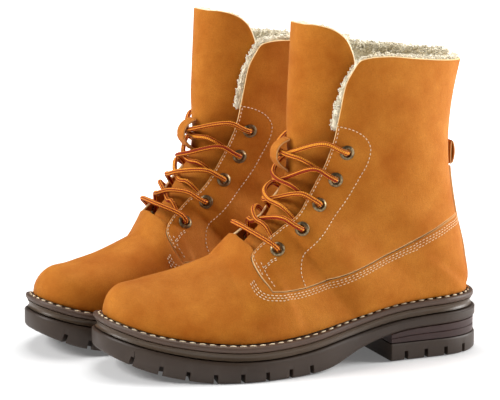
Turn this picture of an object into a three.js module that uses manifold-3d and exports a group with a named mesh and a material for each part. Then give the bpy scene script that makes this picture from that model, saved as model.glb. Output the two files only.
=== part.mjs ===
// A pair of insulated lace-up boots: two mirror-image boots, each built of its real layers.
// Millimetres, +Z up, toes towards -Y. Each boot is built in its own frame, with the ground at z = 0,
// the toe towards -Y and the outer side towards +X; the right boot is the left one mirrored.
import * as THREE from "three";
import { mergeVertices } from "three/addons/utils/BufferGeometryUtils.js";
import Module from "manifold-3d";

const wasm = await Module();
wasm.setup();

// Driving sizes
const TOE = -150; // front of the outsole
const HEEL = 134; // back of the outsole
const GAP = 0.3; // clearance between pieces that touch
const LEATHER = 1.8; // vamp and quarters
const STIFFENER = 1.1; // toe puff and heel counter
const FLEECE = 3.0; // shaft lining
const TONGUE = 4.0; // tongue, leather and fleece together
const TONGUE_IN = 12.2; // front of the tongue behind the line of the upper's front
const FEATHER_IN = 7.5; // foot of the upper in from the outsole's edge
const WELT_THICK = 4.2;
const MIDSOLE_IN = 2.4; // midsole in from the outsole's edge
const WELT_EDGE_IN = 1.2; // welt in from the outsole's edge
const BOARD_IN = 16; // insole board in from the outsole's edge
const BREAST = 54; // front of the heel
const LIFT_HEIGHT = 12.3; // lugged heel lift
const STACK_IN = 1.0; // heel stack in from the outsole's edge
const SLOT = 3.0; // width of a slot between two lugs
const LACE = 3.6; // lace diameter
const EYELET_R = 5.2; // eyelet flange
const EYELET_HOLE_R = 2.8;
const BARREL = 0.6; // thickness of the eyelet's barrel
const FOOTBED_GAP = 5; // footbed in from the lining
const FOOTBED_TOP = 4.8; // top of the footbed above the welt
const RIGHT_TURN = 5.43; // degrees that the right boot toes in
const FINE = 0.06; // detail smaller than this is left out
const LEFT_AT = [66, 0];
const RIGHT_AT = [-50.2, -29.4];
const FLAP_FOLD_Z = 176; // crease of the tongue's top
const TAB_Z = 136; // foot of the pull tab
const TAB_OUT = 3.2; // middle of its inner layer behind the shaft
const TAB_HALF = 9; // half of its width
const STRIP_HALF = 10.5; // half of the heel strip's width
const KEEPER_THICK = 1.6;
const KEEPER_HALF = 6; // half of the lace keeper's width

// Cubic through the points, with finite-difference slopes; a straight run past each end.
function smooth(points) {
  const n = points.length;
  const slope = points.map((p, i) => {
    const a = points[Math.max(0, i - 1)];
    const b = points[Math.min(n - 1, i + 1)];
    if (i === 0 || i === n - 1) return (b[1] - a[1]) / (b[0] - a[0]);
    const h0 = p[0] - a[0];
    const h1 = b[0] - p[0];
    return (((p[1] - a[1]) / h0) * h1 + ((b[1] - p[1]) / h1) * h0) / (h0 + h1);
  });
  return (x) => {
    if (x <= points[0][0]) return points[0][1];
    if (x >= points[n - 1][0]) return points[n - 1][1];
    let i = 0;
    while (x > points[i + 1][0]) i++;
    const h = points[i + 1][0] - points[i][0];
    const u = (x - points[i][0]) / h;
    const v = 1 - u;
    return (
      points[i][1] * (1 + 2 * u) * v * v +
      h * slope[i] * u * v * v +
      points[i + 1][1] * u * u * (3 - 2 * u) -
      h * slope[i + 1] * u * u * v
    );
  };
}

const clamp = (x, a, b) => Math.min(b, Math.max(a, x));
const roundEnd = (y, from, to, n) =>
  Math.pow(1 - Math.pow(clamp((y - from) / (to - from), 0, 1), n), 1 / n);

// Plan and heights of the sole along the boot, front to back
const halfWidth = smooth([
  [TOE, 46.5], [-110, 48.5], [-62, 54], [-15, 48.5], [35, 39.5], [95, 37], [HEEL, 36.5],
]);
const centre = smooth([[TOE, -15], [-110, -7], [-62, 3], [-15, 4.5], [35, 1.5], [95, 0], [HEEL, 0]]);
const rimZ = smooth([[TOE, 30], [-125, 22.8], [-95, 16.8], [-60, 14], [-20, 15.2], [20, 21.5], [62, 28.5],
  [100, 31], [HEEL, 31.5]]);
const groundCurve = smooth([
  [TOE, 17], [-128, 8], [-105, 2.5], [-85, 0], [-20, 0], [5, 3], [30, 13], [58, 20.5], [100, 23.5],
  [HEEL, 24],
]);
const groundZ = (y) => Math.max(0, groundCurve(y));
const featherZ = smooth([[TOE, 41], [-125, 33], [-95, 27.5], [-60, 24.8], [-20, 26], [20, 32], [62, 39.5],
  [100, 42], [HEEL, 42.5]]);
const TOE_ROUND = 2.3; // how square each end is in plan
const HEEL_ROUND = 2.2;
const roundedPlan = (y, inset, toe, heel) =>
  (halfWidth(y) - inset) * roundEnd(y, -85, toe, TOE_ROUND) * roundEnd(y, 94, heel, HEEL_ROUND);
const plan = (y, inset) => roundedPlan(y, inset, TOE + inset, HEEL - inset);

// Geometry helpers
function geometry(points, faces) {
  const g = new THREE.BufferGeometry();
  g.setAttribute("position", new THREE.Float32BufferAttribute(points.flat(), 3));
  g.setIndex(faces.flat());
  return g;
}

// Closed skin over a row of rings with the same number of points, with a fan on each end.
function loft(rings) {
  const n = rings[0].length;
  const points = rings.flat();
  const faces = [];
  for (let i = 0; i + 1 < rings.length; i++) {
    for (let j = 0; j < n; j++) {
      const k = (j + 1) % n;
      const a = i * n + j;
      const b = i * n + k;
      faces.push([a, b, b + n], [a, b + n, a + n]);
    }
  }
  const middle = (ring) => [0, 1, 2].map((c) => ring.reduce((sum, p) => sum + p[c], 0) / n);
  points.push(middle(rings[0]), middle(rings[rings.length - 1]));
  const last = (rings.length - 1) * n;
  for (let j = 0; j < n; j++) {
    const k = (j + 1) % n;
    faces.push([points.length - 2, k, j], [points.length - 1, last + j, last + k]);
  }
  return geometry(points, faces);
}

function turnFaces(index) {
  for (let i = 0; i < index.length; i += 3) [index[i + 1], index[i + 2]] = [index[i + 2], index[i + 1]];
}

function solid(g) {
  const bare = new THREE.BufferGeometry();
  const source = g.index ? g.toNonIndexed() : g;
  bare.setAttribute("position", source.getAttribute("position"));
  const merged = mergeVertices(bare, 1e-3);
  const kept = [];
  const index = merged.index.array;
  for (let i = 0; i < index.length; i += 3) {
    const [a, b, c] = [index[i], index[i + 1], index[i + 2]];
    if (a !== b && b !== c && a !== c) kept.push(a, b, c);
  }
  const vertProperties = merged.attributes.position.array;
  const make = (tris) =>
    new wasm.Manifold(new wasm.Mesh({ numProp: 3, vertProperties, triVerts: new Uint32Array(tris) }));
  const made = make(kept);
  if (made.volume() > 0) return made;
  turnFaces(kept);
  return make(kept);
}

function geometryOf(body) {
  const m = body.getMesh();
  const g = new THREE.BufferGeometry();
  const points = new Float32Array(m.numVert * 3);
  for (let i = 0; i < m.numVert; i++) {
    points.set(m.vertProperties.subarray(i * m.numProp, i * m.numProp + 3), i * 3);
  }
  g.setAttribute("position", new THREE.BufferAttribute(points, 3));
  g.setIndex(new THREE.BufferAttribute(new Uint32Array(m.triVerts), 1));
  return g;
}

function block(x0, x1, y0, y1, z0, z1) {
  const g = new THREE.BoxGeometry(x1 - x0, y1 - y0, z1 - z0);
  g.translate((x0 + x1) / 2, (y0 + y1) / 2, (z0 + z1) / 2);
  return solid(g);
}

// Side outline, a list of [y, z], pushed along X.
function prism(outline, x0 = -90, x1 = 90) {
  const shape = new THREE.Shape(outline.map(([y, z]) => new THREE.Vector2(y, z)));
  const g = new THREE.ExtrudeGeometry(shape, { depth: x1 - x0, bevelEnabled: false });
  g.applyMatrix4(new THREE.Matrix4().set(0, 0, 1, x0, 1, 0, 0, 0, 0, 1, 0, 0, 0, 0, 0, 1));
  return solid(g);
}

const shifted = (line, dy, dz) => line.map(([y, z]) => [y + dy, z + dz]);

// Sole layers: one cross-section per station
const SOLE_STATIONS = [-129, -114, -100, -85, -62, -40, -20, 5, 18, 30, 42, 54, 75, 94, 108, 119];
function soleStations(inset, from, to) {
  const toe = TOE + inset;
  const heel = HEEL - inset;
  const ends = [toe + 0.2, toe + 2, toe + 5.5, toe + 12, heel - 7, heel - 3, heel - 0.9, heel - 0.1];
  const between = SOLE_STATIONS.filter((y) => y > toe + 14 && y < heel - 9);
  const inside = [...ends, ...between].filter((y) => y > from + 0.5 && y < to - 0.5).sort((a, b) => a - b);
  return [...(from > toe ? [from] : []), ...inside, ...(to < heel ? [to] : [])];
}
function layer(inset, low, high, from = TOE - 1, to = HEEL + 1) {
  return solid(
    loft(
      soleStations(inset, from, to).map((y) => {
        const w = plan(y, inset);
        const c = centre(y);
        return [[c - w, y, low(y)], [c + w, y, low(y)], [c + w, y, high(y)], [c - w, y, high(y)]];
      }),
    ),
  );
}

// Side faces of the lugs: slots cut in from the edge at these places along the boot
const LUG_SLOTS = [-136, -119, -102, -84, -66, -48, -30, -13];
const LIFT_SLOTS = [66, 82, 98, 114];
function slots(places, depth, low, height) {
  return places.flatMap((y) =>
    [1, -1].map((side) => {
      const ahead = plan(y + 1, 0);
      const slope = Math.atan((ahead - plan(y - 1, 0)) / 2);
      const g = new THREE.BoxGeometry(depth * 2, SLOT, height * 2);
      g.rotateZ(-side * slope);
      g.translate(centre(y) + side * plan(y, 0), y, low(y));
      return solid(g);
    }),
  );
}
const cut = (body, tools) => tools.reduce((rest, tool) => rest.subtract(tool), body);

// Upper: a closed form whose cross-sections turn from upright over the foot to level in the shaft.
// Each station runs from the front line D to the end line E, in the side view.
const UPPER_TOE = TOE + 7;
const UPPER_HEEL = HEEL - 8;
const VAMP_END = -60;
const rise = smooth([
  [UPPER_TOE, 24.5], [-132, 28], [-120, 30], [-108, 34.5], [-92, 40], [-78, 45.5], [VAMP_END, 53],
]);
const SHAFT = [
  // t, front y, front z, end y, end z, half width, front share, front power, back power
  [1, VAMP_END, 77.8, VAMP_END, 24.8, 0, 0.88, 2.0, 2.0],
  [2, -47, 97.5, -20, 26, 0, 0.74, 2.0, 2.0],
  [3, -32.5, 119.5, 35, 34.8, 36, 0.62, 2.1, 2.1],
  [4, -23, 138.5, 95, 41.7, 35.5, 0.55, 2.2, 2.4],
  [5, -20.2, 154, 126, 43.5, 36, 0.5, 2.2, 2.6],
  [6, -20.8, 168, 124.5, 71, 36.5, 0.5, 2.2, 2.4],
  [7, -21.5, 182, 116.5, 104, 37.5, 0.5, 2.2, 2.3],
  [8, -21.3, 197, 111.5, 140, 39, 0.5, 2.2, 2.2],
  [9, -20.3, 218, 113, 178, 41, 0.5, 2.2, 2.2],
  [10, -18.8, 249, 122.5, 223, 43, 0.5, 2.2, 2.2],
];
const column = (i) => smooth(SHAFT.map((row) => [row[0], row[i]]));
const [frontY, frontZ, endY, endZ, shaftWidth] = [1, 2, 3, 4, 5].map(column);
const [frontShare, frontPower, backPower] = [6, 7, 8].map(column);
const outerPower = smooth([[0, 1.57], [1, 1.6], [2, 1.85], [3, 2.1]]);
const innerPower = smooth([[0, 2.26], [1, 2.26], [2, 2.2], [3, 2.1]]);
const ridgeShift = smooth([[0, 4.6], [1, -8.9], [2, -4], [3, 0], [4, 0]]);

function station(t, inset) {
  const foot = t <= 1;
  const toe = UPPER_TOE + inset;
  const heel = UPPER_HEEL - inset;
  const y = toe + 0.3 + (VAMP_END - toe - 0.3) * (1 - Math.cos((clamp(t, 0, 1) * Math.PI) / 2));
  const edge = (at) => roundedPlan(at, FEATHER_IN + inset, toe, heel);
  const top = featherZ(y) + (rise(y) - inset) * roundEnd(y, -118, toe, TOE_ROUND);
  let D = foot ? [y, top] : [frontY(t), frontZ(t)];
  let E = foot ? [y, featherZ(y)] : [endY(t), endZ(t)];
  if (!foot && t <= 5) {
    const back = Math.min(endY(t), heel - 0.1);
    E = [back, featherZ(back)];
  }
  if (!foot) {
    const long = Math.hypot(E[0] - D[0], E[1] - D[1]);
    const way = [(E[0] - D[0]) / long, (E[1] - D[1]) / long];
    const back = clamp(t - 5, 0, 1) * inset;
    D = [D[0] + way[0] * inset, D[1] + way[1] * inset];
    E = [E[0] - way[0] * back, E[1] - way[1] * back];
  }
  const e = t <= 5 ? edge(E[0]) : 0;
  const low = edge(clamp(E[0], -200, -20)) + 1.2 * clamp(t / 0.6, 0, 1);
  const mix = clamp(t - 2, 0, 1);
  const ease = mix * mix * (3 - 2 * mix);
  const W = Math.max(e, low + (shaftWidth(t) - inset - low) * ease);
  const share = foot ? 0.93 - 0.05 * clamp(t, 0, 1) : frontShare(t);
  E = [E[0], E[1] + 2 * GAP];
  const back = foot ? 2 : backPower(t);
  const c = centre(foot ? y : (D[0] + E[0]) / 2);
  const both = frontPower(t);
  const powers = t < 3 ? { 1: outerPower(t), [-1]: innerPower(t) } : { 1: both, [-1]: both };
  return { D, E, e, W, share, back, c, powers, shift: ridgeShift(t) };
}
function spot(st, s, side) {
  const p = st.powers[side];
  const round = (u, power) => Math.pow(Math.max(0, 1 - Math.pow(u, power)), 1 / power);
  const x =
    s < st.share
      ? st.W * round(1 - s / st.share, p)
      : st.e + (st.W - st.e) * round((s - st.share) / (1 - st.share), st.back);
  const [y, z] = [0, 1].map((i) => st.D[i] + (st.E[i] - st.D[i]) * s);
  return [st.c + st.shift * (1 - s) + side * x, y, z];
}
const T_ROWS = [0, 0.12, 0.25, 0.42, 0.65, 1, 1.5, 2, 2.6, 3.1, 3.6, 4, 4.4, 4.7, 4.9, 5, 6, 7, 8.5, 10];
const S_ROWS = [0, 0.012, 0.05, 0.12, 0.25, 0.45, 0.68, 0.88, 1];
const lasts = new Map();
function form(inset, drop) {
  const key = inset + "/" + drop;
  if (!lasts.has(key)) {
    const rings = T_ROWS.map((t) => {
      const st = station(t, inset);
      const outer = S_ROWS.map((s) => spot(st, s, 1));
      const inner = S_ROWS.slice(1).reverse().map((s) => spot(st, s, -1));
      if (!drop) return [...outer, ...inner];
      const down = ([x, y, z]) => [x, y, z - (t <= 5 ? drop : 0)];
      return [...outer, down(outer[outer.length - 1]), down(inner[0]), ...inner];
    });
    lasts.set(key, solid(loft(rings)));
  }
  return lasts.get(key);
}
const shell = (from, to) => form(from, 0).subtract(form(to, 3));

// Which station and share a side-view point lies on.
function locate(y, z) {
  let low = 0.02;
  let high = 10;
  for (let i = 0; i < 40; i++) {
    const mid = (low + high) / 2;
    const { D, E } = station(mid, 0);
    if ((E[0] - D[0]) * (z - D[1]) - (E[1] - D[1]) * (y - D[0]) > 0) low = mid;
    else high = mid;
  }
  const { D, E } = station(low, 0);
  const [along, up] = [E[0] - D[0], E[1] - D[1]];
  const s = ((y - D[0]) * along + (z - D[1]) * up) / (along ** 2 + up ** 2);
  return [low, s];
}
const at = (t, s, side) => new THREE.Vector3(...spot(station(t, 0), s, side));
function outward(t, s, side) {
  const a = at(t + 0.02, s, side).sub(at(t - 0.02, s, side));
  const b = at(t, s + 0.004, side).sub(at(t, s - 0.004, side));
  const n = a.cross(b).normalize();
  return n.x * side < 0 ? n.negate() : n;
}

// The same place on the faceted outer face of the upper.
const bothSides = new THREE.MeshBasicMaterial({ side: THREE.DoubleSide });
const outerFace = new THREE.Mesh(geometryOf(form(0, 0)), bothSides);
function onFace(t, s, side) {
  const p = at(t, s, side);
  const ray = new THREE.Raycaster(new THREE.Vector3(side * 200, p.y, p.z), new THREE.Vector3(-side, 0, 0));
  const hit = ray.intersectObject(outerFace)[0];
  return hit ? hit.point : p;
}

// Side-view lines of the upper's panels
const FACING = [
  [-40, 61.5], [-45, 70], [-47.4, 80.6], [-45, 86], [-33.7, 96], [-19.7, 107], [-7.8, 120.5], [1.2, 136],
  [6.8, 149], [10.2, 161], [11.8, 170],
];
const COLLAR = [
  [13.5, 181], [17.2, 201], [21.6, 210], [26.5, 217], [33, 219], [49, 219.6], [71, 217], [99, 214],
  [121, 212.4], [145, 211],
];
const FOXING = [
  [145, 104], [113.6, 99.5], [95, 95], [60, 81], [28.6, 70], [0.5, 62], [-21.5, 58.8], [-39, 59],
];
const STAY = [
  [-47, 79], [-30, 70], [-14, 70], [-14, 80], [-9, 86], [6, 102], [19.5, 118], [29, 134], [35, 146],
  [36.4, 155.5], [32, 163], [25, 171.5],
];
const THROAT = [[-50, 87.5], [-58, 90], [-70, 104], [-175, 104], [-175, 0], [145, 0]];
const EYELETS = [[-31, 87], [-13.6, 100.6], [0.75, 116.2], [12.6, 133.3], [19.7, 152.4]];
const TAIL = [
  [30, 145.5], [26, 138], [20, 128], [13.5, 119], [6.5, 111], [-1, 103], [-8.5, 96], [-15, 90.5],
];
const TONGUE_EDGE = [
  [-47, 78], [-22, 80], [-7, 96], [5, 112], [15, 132], [22, 152], [24, FLAP_FOLD_Z - GAP],
];

const vampOutline = [...FOXING, ...shifted(FACING.slice(0, 4), -0.4, 0), ...THROAT];
const quarterOutline = [...shifted(FOXING, 0, GAP), ...FACING, ...COLLAR];
const liningOutline = [
  [145, 0], [145, 209.5], ...shifted(COLLAR.slice(0, -1), 1.2, -1.6).reverse(), ...[...STAY].reverse(),
  [-47, 86.5], [-58, 102], [-175, 102], [-175, 0],
];
const tongueOutline = [...TONGUE_EDGE, [-60, FLAP_FOLD_Z - GAP], [-90, 100]];
const flapOutline = [
  [-60, FLAP_FOLD_Z + GAP], [22, FLAP_FOLD_Z + GAP], [26, 200], [28, 214], [25.5, 224], [21, 232], [13, 238],
  [3, 241], [-60, 241.5],
];

// Eyelets: place, outward direction and the hole they sit in
const eyeletSeats = [1, -1].flatMap((side) =>
  EYELETS.map(([y, z], row) => {
    const [t, s] = locate(y, z);
    return { side, row, t, s, at: onFace(t, s, side), out: outward(t, s, side) };
  }),
);
const turned = (g, seat) => {
  const turn = new THREE.Quaternion().setFromUnitVectors(new THREE.Vector3(0, 0, 1), seat.out);
  return g.applyQuaternion(turn).translate(seat.at.x, seat.at.y, seat.at.z);
};
function eyelet(seat) {
  const r = EYELET_HOLE_R;
  const barrel = r + BARREL;
  const foot = -LEATHER - 0.5;
  const profile = [[r, foot], [barrel, foot], [barrel, 0.45], [EYELET_R, 0.45], [barrel, 1.1], [r, foot]];
  const g = new THREE.LatheGeometry(profile.map(([x, z]) => new THREE.Vector2(x, z)), 8);
  g.rotateX(Math.PI / 2);
  return solid(turned(g, seat));
}
// The hole through the leather and the flat seat pressed round it
function punch(seat) {
  const holeR = EYELET_HOLE_R + BARREL + GAP;
  const hole = new THREE.CylinderGeometry(holeR, holeR, 10, 8);
  const press = new THREE.CylinderGeometry(EYELET_R + GAP, EYELET_R + GAP, 6, 8);
  press.translate(0, 3.1, 0);
  const tools = [hole, press].map((g) => solid(turned(g.rotateX(Math.PI / 2), seat)));
  return tools[0].add(tools[1]);
}

// Lace: one cord, across the outside at the lowest pair, then crossing upwards, in at every eyelet
const HALF = LACE / 2;
const OVER = 1.1 + GAP + HALF + 0.1; // above an eyelet's flange
const UNDER = LEATHER + GAP + HALF + 0.4; // below the facing
const edgeShare = smooth(FACING.slice(3).map(([y, z]) => locate(y, z)));
const lift = (t, s, side, h) => onFace(t, s, side).addScaledVector(outward(t, s, side), h);
function frontPoint(t, inset, x) {
  const st = station(t, inset);
  return new THREE.Vector3(x, st.D[0], st.D[1]);
}
function through(seat, from, to) {
  const flat = (p) => {
    const d = p.clone().sub(seat.at);
    return d.addScaledVector(seat.out, -d.dot(seat.out)).normalize();
  };
  const a = flat(from);
  const b = flat(to);
  const p = (dir, along, h) => seat.at.clone().addScaledVector(dir, along).addScaledVector(seat.out, h);
  return [
    p(a, 6, OVER + 0.1), p(a, 2.4, OVER), p(a, 0.5, OVER - 0.9), p(a, 0, -0.5), p(b, 0.6, -UNDER + 0.8),
    p(b, 2.6, -UNDER - 0.2), p(b, 6, -UNDER - 0.1),
  ];
}
const seatOf = (side, row) => eyeletSeats.find((e) => e.side === side && e.row === row);
const CROSS_T = [2.55, 3.17, 3.86, 5]; // where the strands cross on the tongue, above each row
const BAR_T = 2; // where the lowest strand crosses the front
const BAR_X = 11; // half of its straight middle
const UP_CENTRE = TONGUE_IN - GAP - HALF - 0.9; // a strand lying on the tongue
const ON_TOP = UP_CENTRE - LACE - GAP - 0.1; // a strand lying on that strand
function crossing(side, row) {
  // from under the facing at this row to over the opposite facing at the next
  const a = seatOf(side, row);
  const b = seatOf(-side, row + 1);
  const mid = CROSS_T[row];
  const inset = side === 1 ? ON_TOP : UP_CENTRE;
  const t0 = a.t + (mid - a.t) * 0.3;
  return [
    lift(t0, edgeShare(t0) * 1.1, side, -UNDER),
    lift(a.t + (mid - a.t) * 0.6, edgeShare(a.t) * 0.5, side, -UNDER + 1.6),
    frontPoint(mid - 0.06, inset, side * 7),
    frontPoint(mid + 0.12, inset, -side * 7),
    lift(b.t - 0.1, edgeShare(b.t) * 0.85, -side, HALF + GAP + 1.2),
  ];
}
function laceHalf(side) {
  // one end of the lace, from the lowest eyelet of this side up to its tail
  const points = [];
  let here = side;
  let from = frontPoint(BAR_T, -HALF - 1, 0);
  for (let row = 0; row < 5; row++) {
    const seat = seatOf(here, row);
    if (row === 4) {
      const tail = TAIL.map(([y, z]) => lift(...locate(y, z), here, -UNDER - 0.1));
      points.push(...through(seat, from, tail[0]).slice(0, -1), ...tail);
    } else {
      const next = crossing(here, row);
      points.push(...through(seat, from, next[0]).slice(0, -1), ...next);
      from = next[4];
      here = -here;
    }
  }
  return points;
}
function laceRoute() {
  const bar = [BAR_X, -BAR_X].map((x) => frontPoint(BAR_T, -HALF - 1, x));
  return [...laceHalf(1).reverse(), ...bar, ...laceHalf(-1)];
}
function lace() {
  const path = new THREE.CatmullRomCurve3(laceRoute(), false, "centripetal");
  path.getUtoTmapping = (u) => u;
  const corner = (_, i) => new THREE.Vector2(HALF, 0).rotateAround(new THREE.Vector2(), (i * Math.PI) / 4);
  const shape = new THREE.Shape([...Array(8)].map(corner));
  const steps = path.points.length - 1;
  return solid(new THREE.ExtrudeGeometry(shape, { steps, extrudePath: path, bevelEnabled: false }));
}

// Leather strap on the tongue that the last two crossings pass through
function keeper() {
  const foot = 4.32;
  const head = 5.9;
  const reach = 9.9;
  const steps = 10;
  const line = (extra) =>
    [...Array(steps + 1)].map((_, i) => {
      const u = i / steps;
      const st = station(foot + (head - foot) * u, TONGUE_IN);
      const bulge = GAP + 0.1 + reach * Math.pow(Math.sin(Math.PI * clamp((u - 0.06) / 0.88, 0, 1)), 0.6);
      return [st.D[0] - (bulge + extra) * 0.97, st.D[1] + (bulge + extra) * 0.1];
    });
  return prism([...line(0), ...line(KEEPER_THICK).reverse()], -KEEPER_HALF, KEEPER_HALF);
}

// Loop folded from the top of the heel strip, turning about its foot
function pullTab() {
  const y = station(8, 0).E[0] + TAB_OUT;
  const outer = [
    [-1.05, -1], [-1.15, 4], [-0.95, 10], [-0.3, 15.2], [1.2, 16.7], [2.7, 15.2], [3.35, 10], [3.25, 4],
    [2.3, -0.6], [0.6, -1.2],
  ];
  const inner = [
    [0.45, 2.5], [0.35, 5], [0.55, 10], [1, 14], [1.25, 14.6], [1.5, 14], [1.85, 10], [1.75, 4], [1.2, 1.8],
  ];
  const loop = prism(shifted(outer, y, TAB_Z), -TAB_HALF, TAB_HALF);
  return loop.subtract(prism(shifted(inner, y, TAB_Z), -TAB_HALF - 1, TAB_HALF + 1));
}

// One boot, in its own frame
function boot() {
  const under = (f, by) => (y) => f(y) - by;
  const over = (f, by) => (y) => f(y) + by;
  const weltLow = under(featherZ, WELT_THICK);
  const stackLow = () => LIFT_HEIGHT + GAP;
  const quarters = cut(shell(0, LEATHER).intersect(prism(quarterOutline)), eyeletSeats.map(punch));
  const lateralHalf = block(GAP / 2, 90, -200, 200, 0, 260);
  const medialHalf = block(-90, -GAP / 2, -200, 200, 0, 260);
  const heelCup = prism([[62, 0], [62, 62], [78, 82], [100, 91], [160, 93], [160, 0]]);
  const toeCup = prism([[-200, 0], [-200, 120], [-104, 120], [-98, 0]]);
  const strip = block(-STRIP_HALF, STRIP_HALF, 60, 160, 20, TAB_Z - 2.6);
  const boardGap = layer(BOARD_IN, under(weltLow, 2), over(featherZ, 2));
  const liningIn = LEATHER + STIFFENER + 2 * GAP;
  const footbedIn = FEATHER_IN + LEATHER + STIFFENER + FLEECE + FOOTBED_GAP;
  const pieces = {
    outsole: cut(layer(0, groundZ, rimZ), slots(LUG_SLOTS, 10, groundZ, 6.5)),
    heel_stack: layer(STACK_IN, stackLow, under(groundZ, GAP), BREAST),
    heel_lift: cut(layer(0, () => 0, () => LIFT_HEIGHT, BREAST), slots(LIFT_SLOTS, 10, () => 0, 6.5)),
    midsole: layer(MIDSOLE_IN, over(rimZ, GAP), under(weltLow, GAP)),
    welt: layer(WELT_EDGE_IN, weltLow, featherZ).subtract(boardGap),
    shank: layer(0, over(weltLow, 0.05), over(weltLow, 1.5), -12, 78).intersect(block(-8, 8, -20, 90, 0, 60)),
    insole_board: layer(BOARD_IN + GAP, over(weltLow, 1.9), featherZ),
    footbed: layer(footbedIn, over(featherZ, GAP), over(featherZ, FOOTBED_TOP)),
    vamp: shell(0, LEATHER).intersect(prism(vampOutline)),
    quarter_lateral: quarters.intersect(lateralHalf),
    quarter_medial: quarters.intersect(medialHalf),
    backstay: shell(-1.8, -0.55).intersect(strip),
    pull_tab: pullTab(),
    heel_counter: shell(LEATHER + GAP, LEATHER + GAP + STIFFENER).intersect(heelCup),
    toe_puff: shell(LEATHER + GAP, LEATHER + GAP + STIFFENER).intersect(toeCup),
    shaft_lining: shell(liningIn, liningIn + FLEECE).intersect(prism(liningOutline)),
    tongue: shell(TONGUE_IN, TONGUE_IN + TONGUE).intersect(prism(tongueOutline)),
    tongue_flap: shell(TONGUE_IN, TONGUE_IN + TONGUE).intersect(prism(flapOutline)),
    lace_keeper: keeper(),
    lace: lace(),
  };
  eyeletSeats.forEach((seat) => {
    pieces["eyelet_" + (seat.side > 0 ? "lateral_" : "medial_") + (seat.row + 1)] = eyelet(seat);
  });
  return pieces;
}

// Colour, roughness and metalness of each finish
const FINISHES = {
  leather: [0xc98a3a, 0.8, 0],
  fleece: [0xe9e2d2, 0.95, 0],
  rubber: [0x58463c, 0.55, 0],
  stack: [0x40282a, 0.5, 0],
  midsole: [0x6a665a, 0.4, 0],
  welt: [0x6b5a4c, 0.5, 0],
  brass: [0x8a6a3a, 0.35, 1],
  lace: [0xd9a53a, 0.65, 0],
  steel: [0x9a9a9a, 0.35, 1],
  board: [0xb09a78, 0.85, 0],
};
const FINISH_OF = {
  outsole: "rubber",
  heel_stack: "stack",
  heel_lift: "rubber",
  midsole: "midsole",
  welt: "welt",
  shank: "steel",
  insole_board: "board",
  footbed: "fleece",
  heel_counter: "board",
  toe_puff: "board",
  shaft_lining: "fleece",
  lace: "lace",
};
const finishOf = (name) => FINISHES[name.startsWith("eyelet") ? "brass" : FINISH_OF[name] || "leather"];

const group = new THREE.Group();
const pieces = boot();
function place(side) {
  const m = new THREE.Matrix4();
  if (side === "left") return m.makeTranslation(LEFT_AT[0], LEFT_AT[1], 0);
  m.makeTranslation(RIGHT_AT[0], RIGHT_AT[1], 0);
  m.multiply(new THREE.Matrix4().makeRotationZ((RIGHT_TURN * Math.PI) / 180));
  return m.multiply(new THREE.Matrix4().makeScale(-1, 1, 1));
}
for (const side of ["left", "right"]) {
  for (const [name, body] of Object.entries(pieces)) {
    const g = geometryOf(body.simplify(FINE));
    g.applyMatrix4(place(side));
    if (side === "right") turnFaces(g.index.array);
    g.computeVertexNormals();
    const [color, roughness, metalness] = finishOf(name);
    const mesh = new THREE.Mesh(g, new THREE.MeshStandardMaterial({ color, roughness, metalness }));
    mesh.name = side + "_" + name;
    group.add(mesh);
  }
}
const box = new THREE.Box3().setFromObject(group);
group.position.set(-(box.min.x + box.max.x) / 2, -(box.min.y + box.max.y) / 2, -box.min.z);
group.updateMatrixWorld(true);

export default group;
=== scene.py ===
"""Looks of a pair of insulated lace-up boots, built around their CAD frame."""

import math

import bpy
import numpy as np
from mathutils import Matrix, Vector
from mathutils.geometry import delaunay_2d_cdt


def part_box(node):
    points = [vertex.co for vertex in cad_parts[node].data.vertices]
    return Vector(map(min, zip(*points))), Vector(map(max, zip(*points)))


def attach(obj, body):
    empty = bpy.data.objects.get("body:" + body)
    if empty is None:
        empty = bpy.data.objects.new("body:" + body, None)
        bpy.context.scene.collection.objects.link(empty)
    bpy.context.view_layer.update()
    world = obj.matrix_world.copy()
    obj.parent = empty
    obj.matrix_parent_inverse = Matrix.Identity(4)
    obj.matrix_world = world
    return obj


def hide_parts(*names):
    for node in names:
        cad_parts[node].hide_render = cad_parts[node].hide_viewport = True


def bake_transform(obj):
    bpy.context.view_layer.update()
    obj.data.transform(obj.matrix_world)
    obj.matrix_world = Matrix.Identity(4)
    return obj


bl_info = {
    "name": "Insulated Lace-up Boots",
    "version": (1, 0, 0),
    "blender": (4, 5, 0),
    "location": "View3D > Sidebar > Boots",
    "description": "Leather, fleece, stitching, laces and lugged soles for a pair of winter boots",
    "category": "Object",
}

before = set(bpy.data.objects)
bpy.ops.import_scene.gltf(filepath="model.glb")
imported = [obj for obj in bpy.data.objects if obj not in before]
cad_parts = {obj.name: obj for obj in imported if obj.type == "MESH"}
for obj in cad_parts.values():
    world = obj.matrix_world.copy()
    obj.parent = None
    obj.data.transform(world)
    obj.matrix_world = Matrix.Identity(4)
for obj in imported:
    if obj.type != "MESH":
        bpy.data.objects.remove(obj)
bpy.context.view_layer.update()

# Sizes of one boot in its own frame, in millimetres: ground at z = 0, toe towards -Y, outer side at +X
MM = 0.001
TOE = -150.0
HEEL = 134.0
GAP = 0.3
LEATHER = 1.8
FEATHER_IN = 7.5
TONGUE_IN = 12.2
TONGUE_LEATHER = 1.7
TONGUE_BACK = 16.2
LINING_OUT = 3.5
LINING_IN = 6.5
WELT_THICK = 4.2
WELT_EDGE_IN = 1.2
MIDSOLE_IN = 2.4
BOARD_IN = 16.0
BREAST = 54.0
LIFT_HEIGHT = 12.3
STACK_IN = 1.0
LACE_HALF = 1.8
EYELET_R = 5.2
EYELET_HOLE_R = 2.8
RIGHT_TURN = math.radians(5.43)
FLAP_FOLD_Z = 176.0
TAB_Z = 136.0
TAB_OUT = 2.1
KEEPER_WIDE = 12.0
STRAP_THICK = 1.6
STRAP_CORNER = 0.7
EDGE_DARK = 0.35
BACKSTAY_HALF = 10.5
BACKSTAY_OUT = 1.8
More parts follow.
